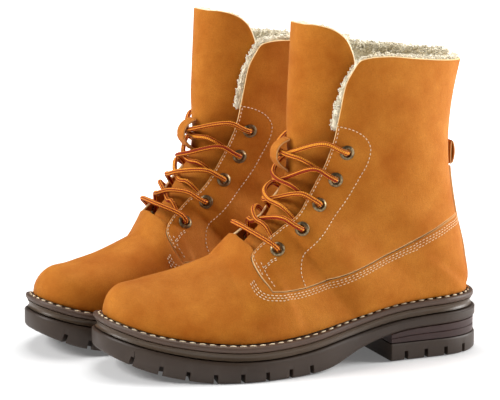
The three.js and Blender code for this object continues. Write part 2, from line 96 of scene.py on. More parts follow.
SLOT_DEEP, SLOT_HIGH, SLOT_WIDE = 16.0, 6.5, 3.0
TREAD_PITCH = 12.0
TREAD_SHARE = 0.42
SOLE_BEVEL = 0.45
PILE_STEP = 2.0
LACE_STEP = 0.9
LACE_SIDES = 14
TIP = 0.02
UPPER_TOE = TOE + 7
UPPER_HEEL = HEEL - 8
VAMP_END = -60.0


def smooth(points):
    """Cubic through the points, with finite-difference slopes; level past each end."""
    xs, ys = np.array(points, float).T
    h = np.diff(xs)
    d = np.diff(ys) / h
    slope = np.concatenate(([d[0]], (d[:-1] * h[1:] + d[1:] * h[:-1]) / (h[:-1] + h[1:]), [d[-1]]))

    def curve(x):
        x = np.clip(np.asarray(x, float), xs[0], xs[-1])
        i = np.clip(np.searchsorted(xs, x, side="left") - 1, 0, len(xs) - 2)
        u = (x - xs[i]) / h[i]
        v = 1 - u
        ends = ys[i] * (1 + 2 * u) * v * v + ys[i + 1] * u * u * (3 - 2 * u)
        return ends + h[i] * u * v * (slope[i] * v - slope[i + 1] * u)

    return curve


def round_end(y, start, end, power):
    share = np.clip((y - start) / (end - start), 0, 1)
    return (1 - share**power) ** (1 / power)


half_width = smooth([(TOE, 46.5), (-110, 48.5), (-62, 54), (-15, 48.5), (35, 39.5), (95, 37), (HEEL, 36.5)])
centre = smooth([(TOE, -15), (-110, -7), (-62, 3), (-15, 4.5), (35, 1.5), (95, 0), (HEEL, 0)])
rim_z = smooth([(TOE, 30), (-125, 22.8), (-95, 16.8), (-60, 14), (-20, 15.2), (20, 21.5), (62, 28.5),
                (100, 31), (HEEL, 31.5)])
ground_curve = smooth([(TOE, 17), (-128, 8), (-105, 2.5), (-85, 0), (-20, 0), (5, 3), (30, 13), (58, 20.5),
                       (100, 23.5), (HEEL, 24)])
feather_z = smooth([(TOE, 41), (-125, 33), (-95, 27.5), (-60, 24.8), (-20, 26), (20, 32), (62, 39.5),
                    (100, 42), (HEEL, 42.5)])
rise = smooth([(UPPER_TOE, 24.5), (-132, 28), (-120, 30), (-108, 34.5), (-92, 40), (-78, 45.5), (-60, 53)])
SHAFT = [
    # station, front y, front z, end y, end z, half width, front share, front power, back power
    (1, VAMP_END, 77.8, VAMP_END, 24.8, 0, 0.88, 2.0, 2.0),
    (2, -47, 97.5, -20, 26, 0, 0.74, 2.0, 2.0),
    (3, -32.5, 119.5, 35, 34.8, 36, 0.62, 2.1, 2.1),
    (4, -23, 138.5, 95, 41.7, 35.5, 0.55, 2.2, 2.4),
    (5, -20.2, 154, 126, 43.5, 36, 0.5, 2.2, 2.6),
    (6, -20.8, 168, 124.5, 71, 36.5, 0.5, 2.2, 2.4),
    (7, -21.5, 182, 116.5, 104, 37.5, 0.5, 2.2, 2.3),
    (8, -21.3, 197, 111.5, 140, 39, 0.5, 2.2, 2.2),
    (9, -20.3, 218, 113, 178, 41, 0.5, 2.2, 2.2),
    (10, -18.8, 249, 122.5, 223, 43, 0.5, 2.2, 2.2),
]
front_y, front_z, end_y, end_z, shaft_width, front_share, front_power, back_power = [
    smooth([(row[0], row[i]) for row in SHAFT]) for i in range(1, 9)
]
outer_power = smooth([(0, 1.57), (1, 1.6), (2, 1.85), (3, 2.1)])
inner_power = smooth([(0, 2.26), (1, 2.26), (2, 2.2), (3, 2.1)])
ridge_shift = smooth([(0, 4.6), (1, -8.9), (2, -4), (3, 0), (4, 0)])

# Side-view lines of the upper, as (y, z)
FACING = [(-40, 61.5), (-45, 70), (-47.4, 80.6), (-45, 86), (-33.7, 96), (-19.7, 107), (-7.8, 120.5),
          (1.2, 136), (6.8, 149), (10.2, 161), (11.8, 170)]
COLLAR = [(13.5, 181), (17.2, 201), (21.6, 210), (26.5, 217), (33, 219), (49, 219.6), (71, 217), (99, 214),
          (121, 212.4), (145, 211)]
FOXING = [(145, 104), (113.6, 99.5), (95, 95), (60, 81), (28.6, 70), (0.5, 62), (-21.5, 58.8), (-39, 59)]
STAY = [(-14, 62), (-16, 70), (-14, 80), (-9, 86), (6, 102), (19.5, 118), (29, 134), (35, 146), (36.4, 155.5),
        (32, 163), (23, 168.5), (12.4, 171.5)]
LINING_FRONT = [(25, 171.5), (32, 163), (36.4, 155.5), (35, 146), (29, 134), (19.5, 118), (6, 102),
                (-9, 86), (-14, 80), (-14, 70), (-30, 70), (-47, 79)]
EYELETS = [(-31, 87), (-13.6, 100.6), (0.75, 116.2), (12.6, 133.3), (19.7, 152.4)]
TAIL = [(30, 145.5), (26, 138), (20, 128), (13.5, 119), (6.5, 111), (-1, 103), (-8.5, 96), (-15, 90.5)]
TONGUE_EDGE = [(-22, 80), (-7, 96), (5, 112), (15, 132), (20, 152), (22.5, 176), (26, 200), (28, 214),
               (25.5, 224), (21, 232), (13, 238), (3, 241), (-4, 241.4)]
LUG_SLOTS = (-136, -119, -102, -84, -66, -48, -30, -13)
LIFT_SLOTS = (66, 82, 98, 114)


def ground_z(y):
    return np.maximum(0, ground_curve(y))


def plan(y, inset):
    inner = (half_width(y) - inset) * round_end(y, -85, TOE + inset, 2.3)
    return inner * round_end(y, 94, HEEL - inset, 2.2)


def stations(t, inset):
    """Cross-sections of the upper: front point, end point and the numbers of its outline."""
    t, inset = np.broadcast_arrays(np.asarray(t, float), np.asarray(inset, float))
    foot = t <= 1
    toe = UPPER_TOE + inset
    heel = UPPER_HEEL - inset

    def edge(at):
        side = (half_width(at) - FEATHER_IN - inset) * round_end(at, -85, toe, 2.3)
        return side * round_end(at, 94, heel, 2.2)

    y = toe + TIP + (VAMP_END - toe - TIP) * (1 - np.cos(np.clip(t, 0, 1) * np.pi / 2))
    top = feather_z(y) + (rise(y) - inset) * round_end(y, -118, toe, 2.3)
    back = np.minimum(end_y(t), heel - 0.1)
    low = t <= 5
    ey = np.where(foot, y, np.where(low, back, end_y(t)))
    ez = np.where(foot, feather_z(y), np.where(low, feather_z(back), end_z(t)))
    dy = np.where(foot, y, front_y(t))
    dz = np.where(foot, top, front_z(t))
    long = np.hypot(ey - dy, ez - dz)
    wy, wz = (ey - dy) / long, (ez - dz) / long
    along = np.where(foot, 0, inset)
    drawn = along * np.clip(t - 5, 0, 1)
    dy, dz, ey, ez = dy + wy * along, dz + wz * along, ey - wy * drawn, ez - wz * drawn
    e = np.where(low, edge(ey), 0)
    base = edge(np.minimum(ey, -20)) + 1.2 * np.clip(t / 0.6, 0, 1)
    mix = np.clip(t - 2, 0, 1)
    wide = np.maximum(e, base + (shaft_width(t) - inset - base) * mix * mix * (3 - 2 * mix))
    share = np.where(foot, 0.93 - 0.05 * np.clip(t, 0, 1), front_share(t))
    power = np.where(foot, 2.0, back_power(t))
    middle = centre(np.where(foot, y, (dy + ey) / 2))
    ez = ez + 2 * GAP
    return dy, dz, ey, ez, e, wide, share, power, middle


def dents(t, s, side):
    """Slight unevenness of worn-in leather, in millimetres."""
    shaft = np.clip((t - 3) / 3, 0, 1)
    foot = np.clip(1 - np.abs(t - 1.6) / 1.6, 0, 1)
    wave = np.sin(2.3 * t + 5.1 * s + side) + 0.6 * np.sin(4.7 * t - 8.2 * s + 2 * side)
    crease = np.sin(19 * t + 3 * s + side)
    return (0.42 * shaft * wave + 0.1 * foot * crease) * np.clip(s * 8, 0, 1) * np.clip((1 - s) * 8, 0, 1)


def surface(t, s, side, inset=0.0):
    """Points of the upper, that far inside its outer face. Side is 1 for the outer half, -1 for the inner."""
    t, s, side, inset = np.broadcast_arrays(*(np.asarray(v, float) for v in (t, s, side, inset)))
    s = np.clip(s, 0, 1)
    dy, dz, ey, ez, e, wide, share, power, middle = stations(t, inset + dents(t, s, side))
    first = np.where(t < 3, np.where(side > 0, outer_power(t), inner_power(t)), front_power(t))
    near = np.clip(1 - s / share, 0, 1)
    far = np.clip((s - share) / (1 - share), 0, 1)
    front = wide * (1 - near**first) ** (1 / first)
    back = e + (wide - e) * (1 - far**power) ** (1 / power)
    x = middle + ridge_shift(t) * (1 - s) + side * np.where(s < share, front, back)
    return np.stack((x, dy + (ey - dy) * s, dz + (ez - dz) * s), -1)


def heel_share(t, x):
    """Share of the way to the heel's back line at which the upper is that wide."""
    power = back_power(t)
    wide = stations(t, 0)[5]
    return 0.5 + 0.5 * (1 - np.clip(np.abs(x) / wide, 0, 1) ** power) ** (1 / power)


def normal(t, s, side):
    """Outward directions of the upper's outer face."""
    t, s, side = np.broadcast_arrays(*(np.asarray(v, float) for v in (t, s, side)))
    along = surface(t + 0.02, s, side) - surface(t - 0.02, s, side)
    down = surface(t, s + 0.004, side) - surface(t, s - 0.004, side)
    n = np.cross(along, down)
    n /= np.linalg.norm(n, axis=-1, keepdims=True)
    return n * np.where(n[..., 0] * side < 0, -1, 1)[..., None]


def locate(line, inset=0.0):
    """Station and share of side-view points, as two arrays."""
    y, z = np.array(line, float).T
    low, high = np.full(len(y), 0.001), np.full(len(y), 10.0)
    for _ in range(36):
        mid = (low + high) / 2
        dy, dz, ey, ez = stations(mid, inset)[:4]
        past = (ey - dy) * (z - dz) - (ez - dz) * (y - dy) > 0
        low, high = np.where(past, mid, low), np.where(past, high, mid)
    dy, dz, ey, ez = stations(low, inset)[:4]
    return low, ((y - dy) * (ey - dy) + (z - dz) * (ez - dz)) / ((ey - dy) ** 2 + (ez - dz) ** 2)


# The upper unrolled: u runs along the boot and v round it from the front line, both in millimetres
T_TABLE = np.linspace(0, 10, 301)
S_TABLE = (1 - np.cos(np.linspace(0, np.pi, 181))) / 2


def unroll(side):
    points = surface(T_TABLE[:, None], S_TABLE[None, :], side)
    steps = np.linalg.norm(np.diff(points, axis=1), axis=2)
    return np.concatenate((np.zeros((len(T_TABLE), 1)), np.cumsum(steps, axis=1)), axis=1)


V_TABLE = {1: unroll(1), -1: unroll(-1)}
U_TABLE = np.concatenate(([0], np.cumsum(np.linalg.norm(np.diff(surface(T_TABLE, 0.6, 1), axis=0), axis=1))))


def flat(t, s, side):
    """Unrolled place of points of the upper, with v below zero on the inner half."""
    t, s, side = np.broadcast_arrays(*(np.asarray(v, float) for v in (t, s, side)))
    row = np.clip(t / 10 * (len(T_TABLE) - 1), 0, len(T_TABLE) - 1.001)
    i = row.astype(int)
    v = []
    for a, f, b, c in zip(i, row - i, s, side):
        before, after = (np.interp(b, S_TABLE, V_TABLE[int(c)][k]) for k in (a, a + 1))
        v.append(before * (1 - f) + after * f)
    return np.stack((np.interp(t, T_TABLE, U_TABLE), np.array(v) * side), -1)


def rolled(uv):
    """Station, share and side of unrolled points."""
    t = np.interp(uv[:, 0], U_TABLE, T_TABLE)
    side = np.where(uv[:, 1] >= 0, 1, -1)
    row = np.clip(t / 10 * (len(T_TABLE) - 1), 0, len(T_TABLE) - 1.001)
    i = row.astype(int)
    s = [
        np.interp(v, V_TABLE[c][a] * (1 - f) + V_TABLE[c][a + 1] * f, S_TABLE)
        for a, f, v, c in zip(i, row - i, np.abs(uv[:, 1]), side)
    ]
    return t, np.array(s), side


def spline(points, per=8):
    """Smooth line through the points, by centripetal Catmull-Rom."""
    p = np.array(points, float)
    p = np.vstack((2 * p[0] - p[1], p, 2 * p[-1] - p[-2]))
    out = []
    for a, b, c, d in zip(p[:-3], p[1:-2], p[2:-1], p[3:]):
        h = [max(np.linalg.norm(n - m) ** 0.5, 1e-4) for m, n in ((a, b), (b, c), (c, d))]
        m1 = ((b - a) / h[0] - (c - a) / (h[0] + h[1]) + (c - b) / h[1]) * h[1]
        m2 = ((c - b) / h[1] - (d - b) / (h[1] + h[2]) + (d - c) / h[2]) * h[1]
        for u in np.arange(per) / per:
            out.append(b + m1 * u + (-3 * b + 3 * c - 2 * m1 - m2) * u * u + (2 * b - 2 * c + m1 + m2) * u**3)
    return np.array(out + [p[-2]])


def even(loop, step):
    """The same closed loop with points about a step apart; corners stay."""
    out = []
    for a, b in zip(loop, np.roll(loop, -1, axis=0)):
        n = max(1, round(float(np.linalg.norm(b - a)) / step))
        out.extend(a + (b - a) * k / n for k in range(n))
    return np.array(out)


def spaced(line, step):
    """Points exactly a step apart along the line."""
    line = np.asarray(line, float)
    length = np.concatenate(([0], np.cumsum(np.linalg.norm(np.diff(line, axis=0), axis=1))))
    n = max(2, round(length[-1] / step) + 1)
    at = np.linspace(0, length[-1], n)
    return np.stack([np.interp(at, length, line[:, k]) for k in range(line.shape[1])], -1)


def traced(line, side, inset=0.0, curved=True):
    """A side-view line unrolled on one half, cut off where it leaves the upper."""
    dense = spaced(spline(line) if curved else line, 0.8)
    t, s = locate(dense, inset)
    kept = (s <= 1) & (s >= 0)
    t, s = t[kept], s[kept]
    return flat(t, s, side)


def back_line(t_from, t_to, side):
    t = np.linspace(t_from, t_to, max(3, int(abs(t_to - t_from) * 14)))
    return flat(t, np.ones_like(t), side)


def aside(line, by, closed=False):
    """The line moved to its left by a distance."""
    if closed:
        way = np.roll(line, -1, axis=0) - np.roll(line, 1, axis=0)
    else:
        way = np.gradient(line, axis=0)
    way = way / np.maximum(np.linalg.norm(way, axis=1, keepdims=True), 1e-9)
    return line + by * np.stack((-way[:, 1], way[:, 0]), -1)


def area_of(loop):
    x, y = loop.T
    return 0.5 * float(np.sum(x * np.roll(y, -1) - np.roll(x, -1) * y))


def inside(points, loop):
    x, y = points.T
    result = np.zeros(len(points), bool)
    for a, b in zip(loop, np.roll(loop, -1, axis=0)):
        if a[1] == b[1]:
            continue
        crosses = (a[1] > y) != (b[1] > y)
        result ^= crosses & (x < (b[0] - a[0]) * (y - a[1]) / (b[1] - a[1]) + a[0])
    return result


def distance(points, loop):
    """Distance from each point to the nearest side of a closed loop."""
    best = np.full(len(points), 1e9)
    for a, b in zip(loop, np.roll(loop, -1, axis=0)):
        along = b - a
        share = np.clip((points - a) @ along / max(float(along @ along), 1e-12), 0, 1)
        best = np.minimum(best, np.linalg.norm(points - a - share[:, None] * along, axis=1))
    return best


class Boot:
    """One boot's place in the row frame."""

    def __init__(self, name):
        self.name = name
        self.mirror = -1 if name == "right" else 1
        self.turn = RIGHT_TURN if name == "right" else 0.0
        self.at = np.zeros(2)
        y = TOE + (HEEL - TOE) * (1 - np.cos(np.linspace(0, np.pi, 400))) / 2
        rim = [(centre(y) + k * plan(y, 0), y) for k in (1, -1)]
        loop = np.concatenate([np.stack((x, v, np.zeros_like(x)), -1) for x, v in rim])
        placed = self.place(loop) / MM
        low, high = (np.array(c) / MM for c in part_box(name + "_outsole"))
        self.at = ((low + high) / 2 - (placed.min(0) + placed.max(0)) / 2)[:2]

    def place(self, points):
        """Boot frame in millimetres to row frame in metres."""
        points = np.asarray(points, float)
        x, y = points[..., 0] * self.mirror, points[..., 1]
        c, s = math.cos(self.turn), math.sin(self.turn)
        moved = (x * c - y * s + self.at[0], x * s + y * c + self.at[1], points[..., 2])
        return np.stack(moved, -1) * MM

    def direction(self, vectors):
        vectors = np.asarray(vectors, float)
        x, y = vectors[..., 0] * self.mirror, vectors[..., 1]
        c, s = math.cos(self.turn), math.sin(self.turn)
        return np.stack((x * c - y * s, x * s + y * c, vectors[..., 2]), -1)

    def body(self, part="boot"):
        return f"{self.name}_{part}"


BOOTS = [Boot("left"), Boot("right")]


def grid_faces(rows, columns, round_rows=False, round_columns=False):
    """Four-sided faces between neighbouring rows and columns of points."""
    faces = []
    for i in range(rows if round_rows else rows - 1):
        a, b = i * columns, (i + 1) % rows * columns
        for j in range(columns if round_columns else columns - 1):
            k = (j + 1) % columns
            faces.append((a + j, a + k, b + k, b + j))
    return faces


def volume(points, faces):
    total = 0.0
    for face in faces:
        a = points[face[0]]
        for k in range(1, len(face) - 1):
            total += float(np.dot(a, np.cross(points[face[k]], points[face[k + 1]])))
    return total


def new_piece(name, mesh, material):
    mesh.materials.append(material)
    piece = bpy.data.objects.new(name, mesh)
    bpy.context.scene.collection.objects.link(piece)
    return piece


def built(boot, name, points, faces, material, sharp=math.radians(50), attributes=None, uv=None):
    """A closed mesh from boot-frame points, facing outwards."""
    placed = boot.place(points)
    if volume(placed, faces) < 0:
        faces = [tuple(reversed(face)) for face in faces]
    mesh = bpy.data.meshes.new(name)
    mesh.from_pydata(placed.tolist(), [], faces)
    for key, values in (attributes or {}).items():
        mesh.attributes.new(key, "FLOAT", "POINT").data.foreach_set("value", np.asarray(values, np.float32))
    if uv is not None:
        layer = mesh.uv_layers.new(name="along")
        corner = np.zeros(len(mesh.loops), np.int32)
        mesh.loops.foreach_get("vertex_index", corner)
        layer.data.foreach_set("uv", np.asarray(uv, np.float32)[corner].ravel())
    mesh.shade_smooth()
    mesh.set_sharp_from_angle(angle=sharp)
    return new_piece(boot.body(name), mesh, material)


def settled(piece, body, slot, *nodes):
    """Gives a finished piece its body and hides the CAD nodes it stands for; the slot argument is not used.
    """
    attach(piece, body)
    if nodes:
        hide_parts(*nodes)
    return piece


def panel(loop, outer, inner, step, round_by, holes=(), bump=None):
    """A sheet of leather or fleece on the upper: its outline is unrolled, its faces lie at two depths.

    Outer and inner are depths, or functions of unrolled points. The rim is rounded.
    """
    rings = [loop] + list(holes)
    depth = [f if callable(f) else (lambda uv, f=f: np.full(len(uv), float(f))) for f in (outer, inner)]
    borders = []
    for k, ring in enumerate(rings):
        ring = ring if area_of(ring) > 0 else ring[::-1]
        if k:
            ring = ring[::-1]
        borders.append(even(ring, min(step, 2.0)))
    shrunk = [aside(ring, round_by if len(ring) > 20 else round_by / 2, closed=True) for ring in borders]
    low, high = borders[0].min(0), borders[0].max(0)
    grid = np.stack(np.meshgrid(np.arange(low[0], high[0], step), np.arange(low[1], high[1], step)), -1)
    grid[1::2, :, 0] += step / 2
    grid = grid.reshape(-1, 2)
    keep = inside(grid, shrunk[0])
    for ring in shrunk:
        keep &= distance(grid, ring) > step * 0.55
    for ring in shrunk[1:]:
        keep &= ~inside(grid, ring)
    grid = grid[keep]
    flat_points = np.concatenate(shrunk + [grid])
    edges, first = [], 0
    for ring in shrunk:
        n = len(ring)
        edges.extend((first + k, first + (k + 1) % n) for k in range(n))
        first += n
    found = delaunay_2d_cdt([Vector(p) for p in flat_points], edges, [], 0, 1e-7)
    verts = np.array([tuple(v) for v in found[0]])
    tris = np.array([f for f in found[2] if len(f) == 3])
    middles = verts[tris].mean(1)
    keep = inside(middles, shrunk[0])
    for ring in shrunk[1:]:
        keep &= ~inside(middles, ring)
    tris = tris[keep]
    where = {}
    for new, olds in enumerate(found[3]):
        for old in olds:
            where[old] = new
    n_flat = len(verts)
    edge_gap = np.minimum.reduce([distance(verts, ring) for ring in borders])
    t, s, side = rolled(verts)
    deep = [f(verts) for f in depth]
    if bump is not None:
        deep[1] = deep[1] + bump(surface(t, s, side, deep[1]))
    sheets = [surface(t, s, side, d) for d in deep]
    points = [sheets[0], sheets[1]]
    faces = [(a, b, c) for a, b, c in tris.tolist()]
    faces += [(c + n_flat, b + n_flat, a + n_flat) for a, b, c in tris.tolist()]
    gaps = [edge_gap, edge_gap]
    total, first = 2 * n_flat, 0
    for ring, border in zip(shrunk, borders):
        n = len(ring)
        ids = [[where[first + k] for k in range(n)]]
        for angle in (50, 0, -50):
            reach = math.cos(math.radians(angle))
            uv = ring + (border - ring) * reach
            a, b, c = rolled(uv)
            top, bottom = depth[0](uv), depth[1](uv)
            middle = (top + bottom) / 2
            points.append(surface(a, b, c, middle - (bottom - top) / 2 * math.sin(math.radians(angle))))
            gaps.append(np.zeros(n))
            ids.append(list(range(total, total + n)))
            total += n
        ids.append([where[first + k] + n_flat for k in range(n)])
        for a, b in zip(ids[:-1], ids[1:]):
            faces += [(a[(k + 1) % n], a[k], b[k], b[(k + 1) % n]) for k in range(n)]
        first += n
    return np.concatenate(points), faces, {"edge_gap": np.concatenate(gaps)}


# Outlines of the panels, unrolled
def shifted(line, dy, dz):
    return [(y + dy, z + dz) for y, z in line]


def half_vamp(side):
    fox = traced(FOXING, side)
    throat = traced(shifted(FACING[:4], -0.4, 0) + [(-52, 95), (-58, 103)], side)
    end = flat(np.array([np.interp(throat[-1, 0], U_TABLE, T_TABLE) + 0.01]), np.array([0.0]), side)
    return fox, throat, end


def foxing_end():
    t, s = locate(spaced(spline(FOXING), 0.8))
    return float(t[np.argmax(s <= 1)])


def vamp_loop():
    """Toe, foot and heel in one piece, up to the foxing line and the throat."""
    parts = {side: half_vamp(side) for side in (1, -1)}
    top = foxing_end()
    outer = np.concatenate((parts[1][0], parts[1][1], parts[1][2]))
    inner = np.concatenate((parts[-1][0], parts[-1][1]))[::-1]
    sole = np.concatenate((back_line(top, 0, -1), back_line(0, top, 1)))
    return np.concatenate((outer, inner, sole[1:-1]))


def quarter_loop(side):
    fox = traced(shifted(FOXING, 0, GAP), side)
    front = traced(FACING, side)
    collar = traced(COLLAR, side)
    return np.concatenate((fox, front, collar, rear(fox, collar, side)))


def rear(low_line, high_line, side):
    high = float(np.interp(high_line[-1, 0], U_TABLE, T_TABLE))
    low = float(np.interp(low_line[0, 0], U_TABLE, T_TABLE))
    return back_line(high, low, side)


def lining_loop():
    halves = []
    for side in (1, -1):
        collar = traced(shifted(COLLAR, 1.2, -1.6), side, LINING_OUT)
        front = traced(LINING_FRONT, side, LINING_OUT)
        halves.append(np.concatenate((collar[::-1], front)))
    start = float(np.interp(halves[0][0, 0], U_TABLE, T_TABLE))
    t_front = float(np.interp(halves[0][-1, 0], U_TABLE, T_TABLE))
    ridge = flat(np.array([t_front + 0.05]), np.array([0.0]), 1)
    sole = np.concatenate((back_line(start, 0, -1), back_line(0, start, 1)))
    return np.concatenate((halves[0], ridge, halves[1][::-1], sole[1:-1]))


def tongue_loop(grow=0.0):
    halves = [traced(TONGUE_EDGE, side, TONGUE_IN) for side in (1, -1)]
    crest = flat(np.array([float(np.interp(halves[0][-1, 0], U_TABLE, T_TABLE))]), np.array([0.0]), 1)
    low = traced([(-22, 80), (-47, 78), (-60, 78)], 1, TONGUE_IN, curved=False)
    low_in = traced([(-22, 80), (-47, 78), (-60, 78)], -1, TONGUE_IN, curved=False)
    loop = np.concatenate((low[::-1], halves[0][1:], crest, halves[1][::-1], low_in[1:]))
    return loop if not grow else aside(loop, -grow * np.sign(area_of(loop)), closed=True)


SEATS = {}
for half_side in (1, -1):
    seat_t, seat_s = locate(EYELETS)
    for seat_row in range(len(EYELETS)):
        SEATS[half_side, seat_row] = (seat_t[seat_row], seat_s[seat_row])


def seat_point(side, row):
    t, s = SEATS[side, row]
    return surface(t, s, side)


# Node trees
def add(tree, kind, inputs=None, **properties):
    """A node with its properties set and its inputs given as values or sockets."""
    node = tree.nodes.new(kind)
    for name, value in properties.items():
        setattr(node, name, value)
    for key, value in (inputs or {}).items():
        if isinstance(value, bpy.types.NodeSocket):
            tree.links.new(value, node.inputs[key])
        else:
            node.inputs[key].default_value = value
    return node


def geometry_tree(name, sockets):
    tree = bpy.data.node_groups.new(name, "GeometryNodeTree")
    tree.interface.new_socket("Geometry", in_out="INPUT", socket_type="NodeSocketGeometry")
    for label, kind, default in sockets:
        socket = tree.interface.new_socket(label, in_out="INPUT", socket_type="NodeSocket" + kind)
        if default is not None:
            socket.default_value = default
    tree.interface.new_socket("Geometry", in_out="OUTPUT", socket_type="NodeSocketGeometry")
    return tree, tree.nodes.new("NodeGroupInput").outputs, tree.nodes.new("NodeGroupOutput")


def close_tree(tree, geometry, material, end):
    """Makes real copies of instances, smooth and in their material."""
    real = add(tree, "GeometryNodeRealizeInstances", {0: geometry})
    soft = add(tree, "GeometryNodeSetShadeSmooth", {0: real.outputs[0]})
    done = add(tree, "GeometryNodeSetMaterial", {"Geometry": soft.outputs[0], "Material": material})
    tree.links.new(done.outputs[0], end.inputs[0])


def stitch_tree():
    """Rows of thread: one bead for each stitch, laid along every edge line of the mesh."""
    tree, given, end = geometry_tree(
        "stitch_rows",
        [
            ("Pitch", "Float", 0.0028),
            ("Stitch", "Float", 0.002),
            ("Thread", "Float", 0.0007),
            ("Material", "Material", None),
        ],
    )
    line = add(tree, "GeometryNodeMeshToCurve", {0: given["Geometry"]})
    spacing = {"Curve": line.outputs[0], "Length": given["Pitch"]}
    row = add(tree, "GeometryNodeResampleCurve", spacing, mode="LENGTH")
    way = add(tree, "GeometryNodeInputTangent")
    turn = add(tree, "FunctionNodeAlignRotationToVector", {"Vector": way.outputs[0]}, axis="X")
    bead = add(tree, "GeometryNodeMeshUVSphere", {"Segments": 8, "Rings": 6, "Radius": 0.5})
    sizes = {"X": given["Stitch"], "Y": given["Thread"], "Z": given["Thread"]}
    size = add(tree, "ShaderNodeCombineXYZ", sizes)
    placed = add(
        tree,
        "GeometryNodeInstanceOnPoints",
        {"Points": row.outputs[0], "Instance": bead.outputs["Mesh"], "Rotation": turn.outputs[0],
         "Scale": size.outputs[0]},
    )
    close_tree(tree, placed.outputs[0], given["Material"], end)
    return tree


def rivet_tree():
    """One copy of a part on every point, its axis along the point's facing."""
    sockets = [("Part", "Object", None), ("Material", "Material", None)]
    tree, given, end = geometry_tree("set_on_points", sockets)
    part = add(tree, "GeometryNodeObjectInfo", {"Object": given["Part"]})
    facing = add(tree, "GeometryNodeInputNamedAttribute", {"Name": "facing"}, data_type="FLOAT_VECTOR")
    turn = add(tree, "FunctionNodeAlignRotationToVector", {"Vector": facing.outputs[0]}, axis="Z")
    points = add(tree, "GeometryNodeMeshToPoints", {"Mesh": given["Geometry"]})
    placed = add(
        tree,
        "GeometryNodeInstanceOnPoints",
        {"Points": points.outputs[0], "Instance": part.outputs["Geometry"], "Rotation": turn.outputs[0]},
    )
    close_tree(tree, placed.outputs[0], given["Material"], end)
    return tree


def pile_tree():
    """Curls of wool scattered over a surface."""
    tree, given, end = geometry_tree(
        "wool_curls",
        [
            ("Curls per square metre", "Float", 120000.0),
            ("Curl Radius", "Float", 0.0011),
            ("Strand", "Float", 0.0003),
            ("Rise", "Float", 0.002),
            ("Seed", "Int", 7),
            ("Material", "Material", None),
        ],
    )
    spread = add(
        tree,
        "GeometryNodeDistributePointsOnFaces",
        {"Mesh": given["Geometry"], "Density": given["Curls per square metre"], "Seed": given["Seed"]},
    )
    coil = add(
        tree,
        "GeometryNodeCurveSpiral",
        {"Resolution": 9, "Rotations": 1.25, "Start Radius": given["Curl Radius"], "End Radius": 0.0004,
         "Height": given["Rise"]},
    )
    round_line = add(tree, "GeometryNodeCurvePrimitiveCircle", {"Resolution": 4, "Radius": given["Strand"]})
    parts = {"Curve": coil.outputs[0], "Profile Curve": round_line.outputs[0], "Fill Caps": True}
    curl = add(tree, "GeometryNodeCurveToMesh", parts)
    turns = {0: (-0.7, -0.7, -3.1), 1: (0.7, 0.7, 3.1), "Seed": given["Seed"]}
    spin = add(tree, "FunctionNodeRandomValue", turns, data_type="FLOAT_VECTOR")
    tilt = add(tree, "FunctionNodeEulerToRotation", {0: spin.outputs[0]})
    turn = add(tree, "FunctionNodeRotateRotation", {0: spread.outputs["Rotation"], 1: tilt.outputs[0]},
               rotation_space="LOCAL")
    size = add(tree, "FunctionNodeRandomValue", {2: 0.6, 3: 1.25, "Seed": given["Seed"]}, data_type="FLOAT")
    placed = add(
        tree,
        "GeometryNodeInstanceOnPoints",
        {"Points": spread.outputs["Points"], "Instance": curl.outputs[0], "Rotation": turn.outputs[0],
         "Scale": size.outputs[1]},
    )
    close_tree(tree, placed.outputs[0], given["Material"], end)
    return tree


def grown(source, tree, values):
    """Replaces a source object's mesh by what the node tree makes of it."""
    modifier = source.modifiers.new("nodes", "NODES")
    modifier.node_group = tree
    for item in tree.interface.items_tree:
        if item.item_type == "SOCKET" and item.in_out == "INPUT" and item.name in values:
            modifier[item.identifier] = values[item.name]
    graph = bpy.context.evaluated_depsgraph_get()
    graph.update()
    mesh = bpy.data.meshes.new_from_object(source.evaluated_get(graph), depsgraph=graph)
    source.modifiers.remove(modifier)
    source.data = mesh
    return source


# Finishes
def shader_group(name, inputs, outputs):
    tree = bpy.data.node_groups.new(name, "ShaderNodeTree")
    for label, default in inputs:
        socket = tree.interface.new_socket(label, in_out="INPUT", socket_type="NodeSocketFloat")
        socket.default_value = default
    for label in outputs:
        tree.interface.new_socket(label, in_out="OUTPUT", socket_type="NodeSocketFloat")
    return tree, tree.nodes.new("NodeGroupInput").outputs, tree.nodes.new("NodeGroupOutput")


def grain_group():
    """Fine grain and large soft patches, on the piece's own coordinates."""
    inputs = [("Grain per metre", 2400.0), ("Patches per metre", 34.0)]
    tree, given, end = shader_group("grain_and_patches", inputs, ["Height", "Patches", "Specks"])
    place = add(tree, "ShaderNodeTexCoord").outputs["Object"]
    fine = add(tree, "ShaderNodeTexNoise", {"Vector": place, "Scale": given[0], "Detail": 3.0})
    patches = {"Vector": place, "Scale": given[1], "Detail": 5.0, "Roughness": 0.62}
    soft = add(tree, "ShaderNodeTexNoise", patches)
    middle = add(tree, "ShaderNodeMath", {0: given[0], 1: 0.22}, operation="MULTIPLY")
    pebble = add(tree, "ShaderNodeTexNoise", {"Vector": place, "Scale": middle.outputs[0], "Detail": 2.0})
    both = add(tree, "ShaderNodeMath", {0: fine.outputs[0], 1: pebble.outputs[0]}, operation="ADD")
    tree.links.new(both.outputs[0], end.inputs["Height"])
    tree.links.new(soft.outputs[0], end.inputs["Patches"])
    tree.links.new(fine.outputs[0], end.inputs["Specks"])
    return tree


def edge_group():
    """One at a cut edge, falling to zero over a short way in."""
    tree, given, end = shader_group("cut_edge", [("Width in millimetres", 0.7)], ["Mask"])
    gap = add(tree, "ShaderNodeAttribute", attribute_name="edge_gap")
    tree.links.new(ranged(tree, gap.outputs["Fac"], 0.0, given[0], 1.0, 0.0), end.inputs["Mask"])
    return tree


